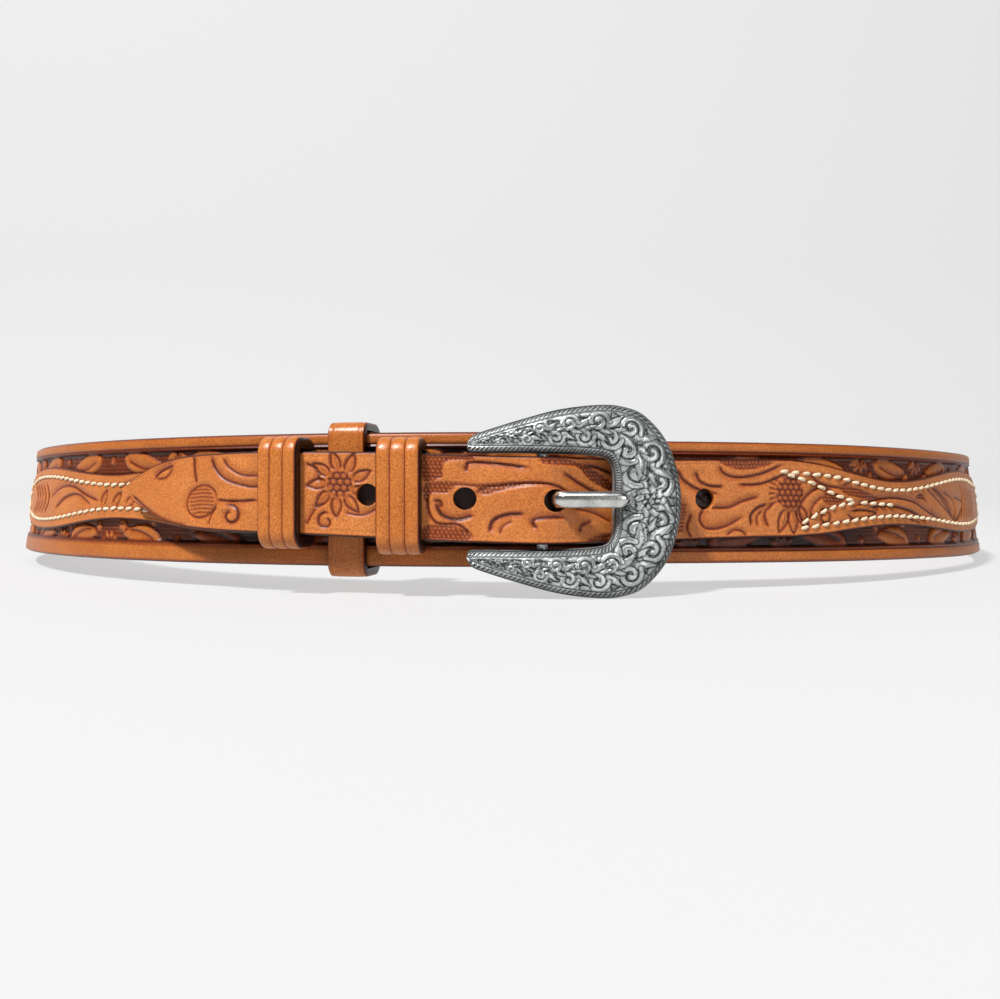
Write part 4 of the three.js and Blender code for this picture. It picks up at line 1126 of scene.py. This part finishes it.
def keeper(node, place, inner, outer, half_up, lift, ridged):
    """A leather loop: sections across its width, carried round a rounded rectangle."""
    at, width = place["at"], place["width"]
    half_out, middle = (outer - inner) / 2, (outer + inner) / 2
    corner, wall = KEEPER_CORNER, KEEPER_BACK
    core = np.array([half_up + wall - corner, half_out + wall - corner])
    turn = []
    for quarter, sign in enumerate(CORNERS):
        for angle in np.linspace(quarter, quarter + 1, 11) * math.pi / 2:
            turn.append((sign[0] * core[0], sign[1] * core[1], math.cos(angle), math.sin(angle)))
        after = CORNERS[(quarter + 1) % 4]
        end = (quarter + 1) * math.pi / 2
        for t in np.linspace(0, 1, 26)[1:-1]:
            spot = [(1 - t) * sign[c] * core[c] + t * after[c] * core[c] for c in (0, 1)]
            turn.append((*spot, math.cos(end), math.sin(end)))
    turn = np.array(turn)
    across = np.linspace(0, 1, 49 if ridged else 25)
    edge = np.minimum(across, 1 - across) * width
    rounding = edge_fall(edge, 0.9, 0.9)
    if ridged:
        wave = np.abs(np.sin(math.pi * KEEPER_BANDS * across)) ** 0.4
        rise = KEEPER_RIDGE * (0.35 + 0.65 * wave) + KEEPER_WALL - KEEPER_BACK + rounding
        groove = 1 - wave
    else:
        crease = np.exp(-(((edge - 1.3) / 0.3) ** 2))
        rise = rounding - 0.25 * crease
        groove = 0.6 * crease
    face = turn[:, None, 2:] * (corner + rise[None, :, None]) + turn[:, None, :2]
    face[..., 1] = np.maximum(face[..., 1], -half_out - wall)
    inside = across[::-4]
    hollow = np.clip(turn[:, :2] + turn[:, 2:] * corner, (-half_up, -half_out), (half_up, half_out))
    hollow = np.broadcast_to(hollow[:, None, :], (len(turn), len(inside), 2))
    section = np.concatenate([face, hollow], 1)
    run = np.concatenate([across, inside])
    points = on_loop(at + (run - 0.5)[None, :] * width, middle + section[..., 1], lift + section[..., 0])
    dark = np.clip(0.6 * groove**2 + smoothstep(-edge, -0.7, -0.1), 0, 1)
    # The inside of the loop is painted fully dark, as painted shade in the hollow.
    dark = np.concatenate([dark, np.full(len(inside), 1.0)])
    dark = np.broadcast_to(dark, points.shape[:2])
    made = make_object(node + "_leather", *skin(points, dark, closed_run=True), KEEPER_LEATHER)
    return finished(made, node)


def keepers():
    for node, place in (("keeper_ridged_left", RIDGED_LEFT), ("keeper_ridged_right", RIDGED_RIGHT)):
        half = float(follow(LIFT, "width", place["at"])) * BILLET_WIDTH / 2 + KEEPER_SLACK
        lift = float(lift_of("long", place["at"]))
        keeper(node, place, GAP + KEEPER_BACK, LONG_LEVEL + LONG_THICK + GAP, half, lift, True)
    behind = -BELT_STEP - BELT_THICK - GAP - PLAIN_LOOSE_BEHIND
    keeper("keeper_plain", PLAIN, behind, GAP, BELT_WIDTH / 2 + KEEPER_SLACK, 0.0, False)


# ---------------------------------------------------------------- buckle
HORSESHOE = table(
    "outer_along outer_up inner_along inner_up rise",
    (-1, 0.6, -1, 0.545, 0.45),
    (-0.965, 0.66, -0.975, 0.505, 0.6),
    (-0.88, 0.712, -0.88, 0.497, 0.7),
    (-0.515, 0.841, -0.515, 0.498, 0.88),
    (-0.147, 0.95, -0.147, 0.49, 0.98),
    (0.221, 1, 0.12, 0.478, 1),
    (0.45, 0.98, 0.28, 0.448, 1),
    (0.64, 0.895, 0.332, 0.375, 1),
    (0.84, 0.66, 0.351, 0.26, 1),
    (0.96, 0.34, 0.353, 0.13, 1),
)
HORSESHOE_MIDDLE = {"outer_along": 1, "outer_up": 0, "inner_along": 0.353, "inner_up": 0, "rise": 1}


def horseshoe_edge(side):
    upper = [(row[side + "_along"], row[side + "_up"], row["rise"]) for row in HORSESHOE]
    middle = [(HORSESHOE_MIDDLE[side + "_along"], HORSESHOE_MIDDLE[side + "_up"], 1)]
    lower = [(a, -u, r) for a, u, r in upper[::-1]]
    return rounded(np.array(upper + middle + lower, float), steps=32)


def carve_buckle(middle, arcs, breadth):
    """Leaf scrolls along the horseshoe that stand over a blackened ground."""
    half = (FRAME_LENGTH / 2, FRAME_HEIGHT / 2)
    r = Relief((-half[0] - 1, -half[1] - 1), (half[0] + 1, half[1] + 1), 0.11, -0.16)
    a, u = r.a[:, None], r.u[None, :]
    veins = np.sin(9.0 * a + 4 * np.sin(1.7 * u)) * np.sin(9.0 * u + 4 * np.sin(1.9 * a))
    r.stain_and_shade = 0.5 + 0.42 * np.sign(veins) * np.abs(veins) ** 0.5
    across = np.gradient(middle[:, :2], axis=0)
    across = np.stack([across[:, 1], -across[:, 0]], 1) / np.linalg.norm(across, axis=1, keepdims=True)
    centre_arc = arcs[-1] / 2
    for k, step in enumerate(np.arange(5.0, centre_arc - 2, 3.7)):
        for sign in (1, -1):
            at = centre_arc + sign * step
            x, y = (np.interp(at, arcs, middle[:, c]) for c in (0, 1))
            side = np.array([np.interp(at, arcs, across[:, c]) for c in (0, 1)])
            wide = max(3.2, float(np.interp(at, arcs, breadth)) - 3.6)
            hand = sign if k % 2 else -sign
            centre = np.array([x, y]) + side * 0.2 * wide * (1 if k % 2 else -1)
            heading = math.atan2(side[0] * -sign, side[1] * sign)
            for j in range(7):
                angle = heading + hand * (0.9 * j - 0.5)
                base = centre + 0.16 * wide * towards(angle)
                size = wide * (0.5 - 0.03 * j)
                leaf = petal(base, angle + 0.5 * hand, size, 0.42 * size, 0.5 * hand)
                r.raised(leaf, 0.02, 0.14)
                r.cut(leaf[2:9], 0.2, 0.14, 0.3, hand)
            curl = spiral(centre, 0.27 * wide, 1.4, heading, hand, 0.16)
            r.ridge(curl, 0.1 * wide)
    bend = middle[len(middle) // 2, 0]
    for radius, count in ((4.4, 9), (2.4, 6)):
        for j in range(count):
            angle = 2 * math.pi * j / count
            base = (bend + 0.4 * radius * math.cos(angle), 0.4 * radius * math.sin(angle))
            r.raised(petal(base, angle, 0.62 * radius, 0.5 * radius, 0.3), 0.02, 0.14)
    return r


def buckle_frame():
    """The horseshoe with its rope edge and scrolls, the bar and the two lugs that hold it."""
    outer, inner = horseshoe_edge("outer"), horseshoe_edge("inner")
    scale = np.array([FRAME_LENGTH / 2, FRAME_HEIGHT / 2, 1])
    outer, inner = outer * scale, inner * scale
    across = np.concatenate([[-1], np.linspace(-1, 1, 61), [1]])
    share = (across + 1) / 2
    spot = inner[:, None, :] * (1 - share[None, :, None]) + outer[:, None, :] * share[None, :, None]
    middle = (inner + outer) / 2
    arcs = np.concatenate([[0], np.cumsum(np.hypot(*np.diff(middle[:, :2], axis=0).T))])
    breadth = np.linalg.norm((outer - inner)[:, :2], axis=1)[:, None]
    relief = carve_buckle(middle, arcs, breadth[:, 0])
    dome = 0.4 + 0.6 * np.clip(1 - np.abs(across) ** 2.3, 0, 1) ** 0.7
    dome[0] = dome[-1] = 0
    from_edge = (1 - np.abs(across))[None, :] * breadth / 2
    border = np.exp(-(((from_edge - 1.1) / 0.5) ** 4))
    rope = np.sin(2 * math.pi * (arcs[:, None] * 0.86 + from_edge * 0.9 * np.sign(across)))
    groove = np.exp(-(((from_edge - 1.95) / 0.2) ** 2)) + np.exp(-(((from_edge - 0.3) / 0.16) ** 2))
    carved = relief.at(spot[..., 0], spot[..., 1]) * smoothstep(from_edge, 2.0, 2.5)
    fine = carved + border * (0.16 + 0.16 * rope) - 0.22 * groove
    fine[:, 0] = fine[:, -1] = 0
    fine[:, 1] = fine[:, -2] = -0.1
    out = FRAME_OUT + dome[None, :] * spot[..., 2] * FRAME_RISE * 0.97 + fine
    points = on_loop(FRAME_AT + spot[..., 0], out, spot[..., 1] - FRAME_LOW)
    # Patina from the engraving layer, with painted shade on the engraved bevels.
    patina_and_shade = relief.at(spot[..., 0], spot[..., 1], relief.stain_and_shade) * smoothstep(from_edge, 2.0, 2.5)
    dark = 1.3 * patina_and_shade + border * np.clip(0.7 - 1.1 * rope, 0, 0.97) + 0.95 * np.clip(groove, 0, 1)
    # Painted shade: the horseshoe is painted darker towards both of its edges.
    dark = np.clip(dark + 0.5 * smoothstep(np.abs(across), 0.5, 1)[None, :], 0, 1)
    flat, faces, dark = skin(points, dark)
    flat, dark = flat.tolist(), list(dark)
    opening = HORSESHOE[4]["inner_up"] * FRAME_HEIGHT / 2
    lug_up = opening + GAP + LUG_HEIGHT / 2
    start, sides = len(flat), 24
    bar = ring((BAR_AT, BAR_OUT), BAR_RADIUS, sides)
    for up in (-lug_up, lug_up):
        flat.extend(on_loop(bar[:, 0], bar[:, 1], up - FRAME_LOW).tolist())
        dark.extend([0.1] * sides)
    for k in range(sides):
        j = (k + 1) % sides
        faces.append([start + k, start + j, start + sides + j, start + sides + k])
    faces.append(list(range(start, start + sides))[::-1])
    faces.append(list(range(start + sides, start + 2 * sides)))
    lug_reach = FRAME_OUT + 0.2 * FRAME_RISE - BAR_OUT + BAR_RADIUS + GAP
    for side in (1, -1):
        start = len(flat)
        for o in (BAR_OUT - BAR_RADIUS - GAP, BAR_OUT - BAR_RADIUS - GAP + lug_reach):
            for a, u in ((-1, -1), (1, -1), (1, 1), (-1, 1)):
                up = side * lug_up + u * LUG_HEIGHT / 2 - FRAME_LOW
                flat.append(on_loop(BAR_AT + a * LUG_LENGTH / 2, o, up).tolist())
                # The lugs are painted a little dark, as painted shade.
                dark.append(0.3)
        for face in ((3, 2, 1, 0), (4, 5, 6, 7), (0, 1, 5, 4), (1, 2, 6, 5), (2, 3, 7, 6), (3, 0, 4, 7)):
            faces.append([start + v for v in face])
    made = make_object("buckle_frame_silver", np.array(flat), faces, dark, ANTIQUE_SILVER, 70)
    return finished(made, "buckle_frame")


def buckle_tongue():
    """The tongue: an eye round the bar, a bend up to the face and a straight run over the horseshoe."""
    over = FRAME_OUT + 0.8 * FRAME_RISE + GAP + TONGUE_THICK / 2
    tip = FRAME_AT + HORSESHOE_MIDDLE["inner_along"] * FRAME_LENGTH / 2 + TONGUE_OVERLAP
    rows = []
    for angle in np.linspace(math.radians(125), 2 * math.pi, 26):
        rows.append((BAR_AT + TONGUE_EYE * math.cos(angle), BAR_OUT + TONGUE_EYE * math.sin(angle), 1))
    for angle in np.linspace(math.pi, math.pi / 2, 9):
        ahead, rise = 1 + math.cos(angle), TONGUE_BEND * math.sin(angle)
        rows.append((BAR_AT + TONGUE_EYE + TONGUE_BEND * ahead, over - TONGUE_BEND + rise, 1))
    for back in (12, 9, 6.5, 5, 4, 3):
        rows.append((tip - back, over, 1))
    for angle in np.linspace(0.1, math.pi / 2 - 0.12, 8):
        rows.append((tip - 2.2 + 2.2 * math.sin(angle), over, math.cos(angle) ** 0.8))
    rows = np.array(rows)
    run = np.stack([np.gradient(rows[:, 0]), np.gradient(rows[:, 1])], 1)
    run /= np.linalg.norm(run, axis=1, keepdims=True)
    half, thick = TONGUE_WIDTH / 2, TONGUE_THICK / 2
    right = [(0.8, -1), (1, -0.8), (1, 0), (0.93, 0.2), (0.5, 0.92), (0.36, 1)]
    section = np.array([(-0.8, -1), *right, *((-x, y) for x, y in right[:0:-1])])
    up = section[None, :, 0] * half * rows[:, 2:3]
    narrow = 0.45 + 0.55 * rows[:, 2:3]
    depth = section[None, :, 1] * thick * narrow
    points = on_loop(rows[:, 0:1] - run[:, 1:2] * depth, rows[:, 1:2] + run[:, 0:1] * depth, up)
    dark = np.zeros(points.shape[:2])
    made = make_object("buckle_tongue_silver", *skin(points, dark), POLISHED_SILVER, 28)
    return finished(made, "buckle_tongue")


# ---------------------------------------------------------------- stage, light and camera
PAPER = {
    "Base Color": (0.22, 0.22, 0.22, 1),
    "Emission Color": (1, 1, 1, 1),
    "Emission Strength": 0.53,
    "Roughness": 0.9,
    "Specular IOR Level": 0.1,
}
PAPER_FRONT, PAPER_BACK, PAPER_TOP = -1.6, 1.1, 1.6
PAPER_BEND = 0.35
PAPER_HALF_WIDTH = 2.5
WORLD_STRENGTH = 0.06
LIGHTS = table(
    "name at aim size watts",
    ("key", (-1.35, -1.8, 2.9), (0, -0.12, 0.02), (0.3, 0.3), 188),
    ("top", (-0.1, -0.75, 1.15), (0, -0.12, 0.03), (1.1, 0.7), 5),
    ("fill", (1.2, -1.6, 0.5), (0, -0.12, 0.03), (0.8, 0.8), 6),
)
CAMERA_SENSOR, CAMERA_LENS = 36, 36
CAMERA_SHIFT = -0.0098
CAMERA_ASIDE = 2.75
CAMERA_BEFORE_LOOP = 280.6


def stage():
    """A sheet of pale paper that bends up behind the belt and glows softly."""
    material, tree, shader = node_material("pale_paper")
    for name, value in PAPER.items():
        feed(tree, shader.inputs[name], value)
    profile = [(PAPER_FRONT, 0)]
    for t in np.linspace(0, math.pi / 2, 16):
        bent = PAPER_BEND - PAPER_BEND * math.cos(t)
        profile.append((PAPER_BACK - PAPER_BEND + PAPER_BEND * math.sin(t), bent))
    profile.append((PAPER_BACK, PAPER_TOP))
    points = [(x, y, z) for x in (-PAPER_HALF_WIDTH, PAPER_HALF_WIDTH) for y, z in profile]
    count = len(profile)
    faces = [[k, count + k, count + k + 1, k + 1] for k in range(count - 1)]
    mesh = bpy.data.meshes.new("paper_sweep")
    mesh.from_pydata(points, [], faces)
    mesh.polygons.foreach_set("use_smooth", [True] * len(mesh.polygons))
    mesh.materials.append(material)
    placed("paper_sweep", mesh)


def light():
    world = bpy.data.worlds.new("studio")
    bpy.context.scene.world = world
    world.use_nodes = True
    backdrop = world.node_tree.nodes["Background"]
    backdrop.inputs["Color"].default_value = (1, 1, 1, 1)
    backdrop.inputs["Strength"].default_value = WORLD_STRENGTH
    for row in LIGHTS:
        data = bpy.data.lights.new(row["name"], "AREA")
        data.shape = "RECTANGLE"
        data.size, data.size_y = row["size"]
        data.energy = row["watts"]
        lamp = placed(row["name"], data)
        lamp.location = row["at"]
        turn = Vector(row["aim"]) - Vector(row["at"])
        lamp.rotation_euler = turn.to_track_quat("-Z", "Y").to_euler()


def camera():
    """The camera of the photo, level with the belt's middle line."""
    data = bpy.data.cameras.new("camera")
    data.sensor_width, data.lens = CAMERA_SENSOR, CAMERA_LENS
    data.shift_x = CAMERA_SHIFT
    data.clip_start, data.clip_end = 0.01, 20
    taken = placed("camera", data)
    distance = LOOP_FRONT_DEPTH + CAMERA_BEFORE_LOOP
    at = np.array([CAMERA_ASIDE, -distance * math.cos(TILT), -distance * math.sin(TILT)])
    taken.location = (at + STANDS_AT) * M
    taken.rotation_euler = (math.pi / 2 + TILT, 0, 0)
    bpy.context.scene.camera = taken


belt_body()
billet_short()
billet_long()
keepers()
buckle_frame()
buckle_tongue()
all_stitches()
stage()
light()
camera()
bpy.context.scene.view_settings.view_transform = "Standard"
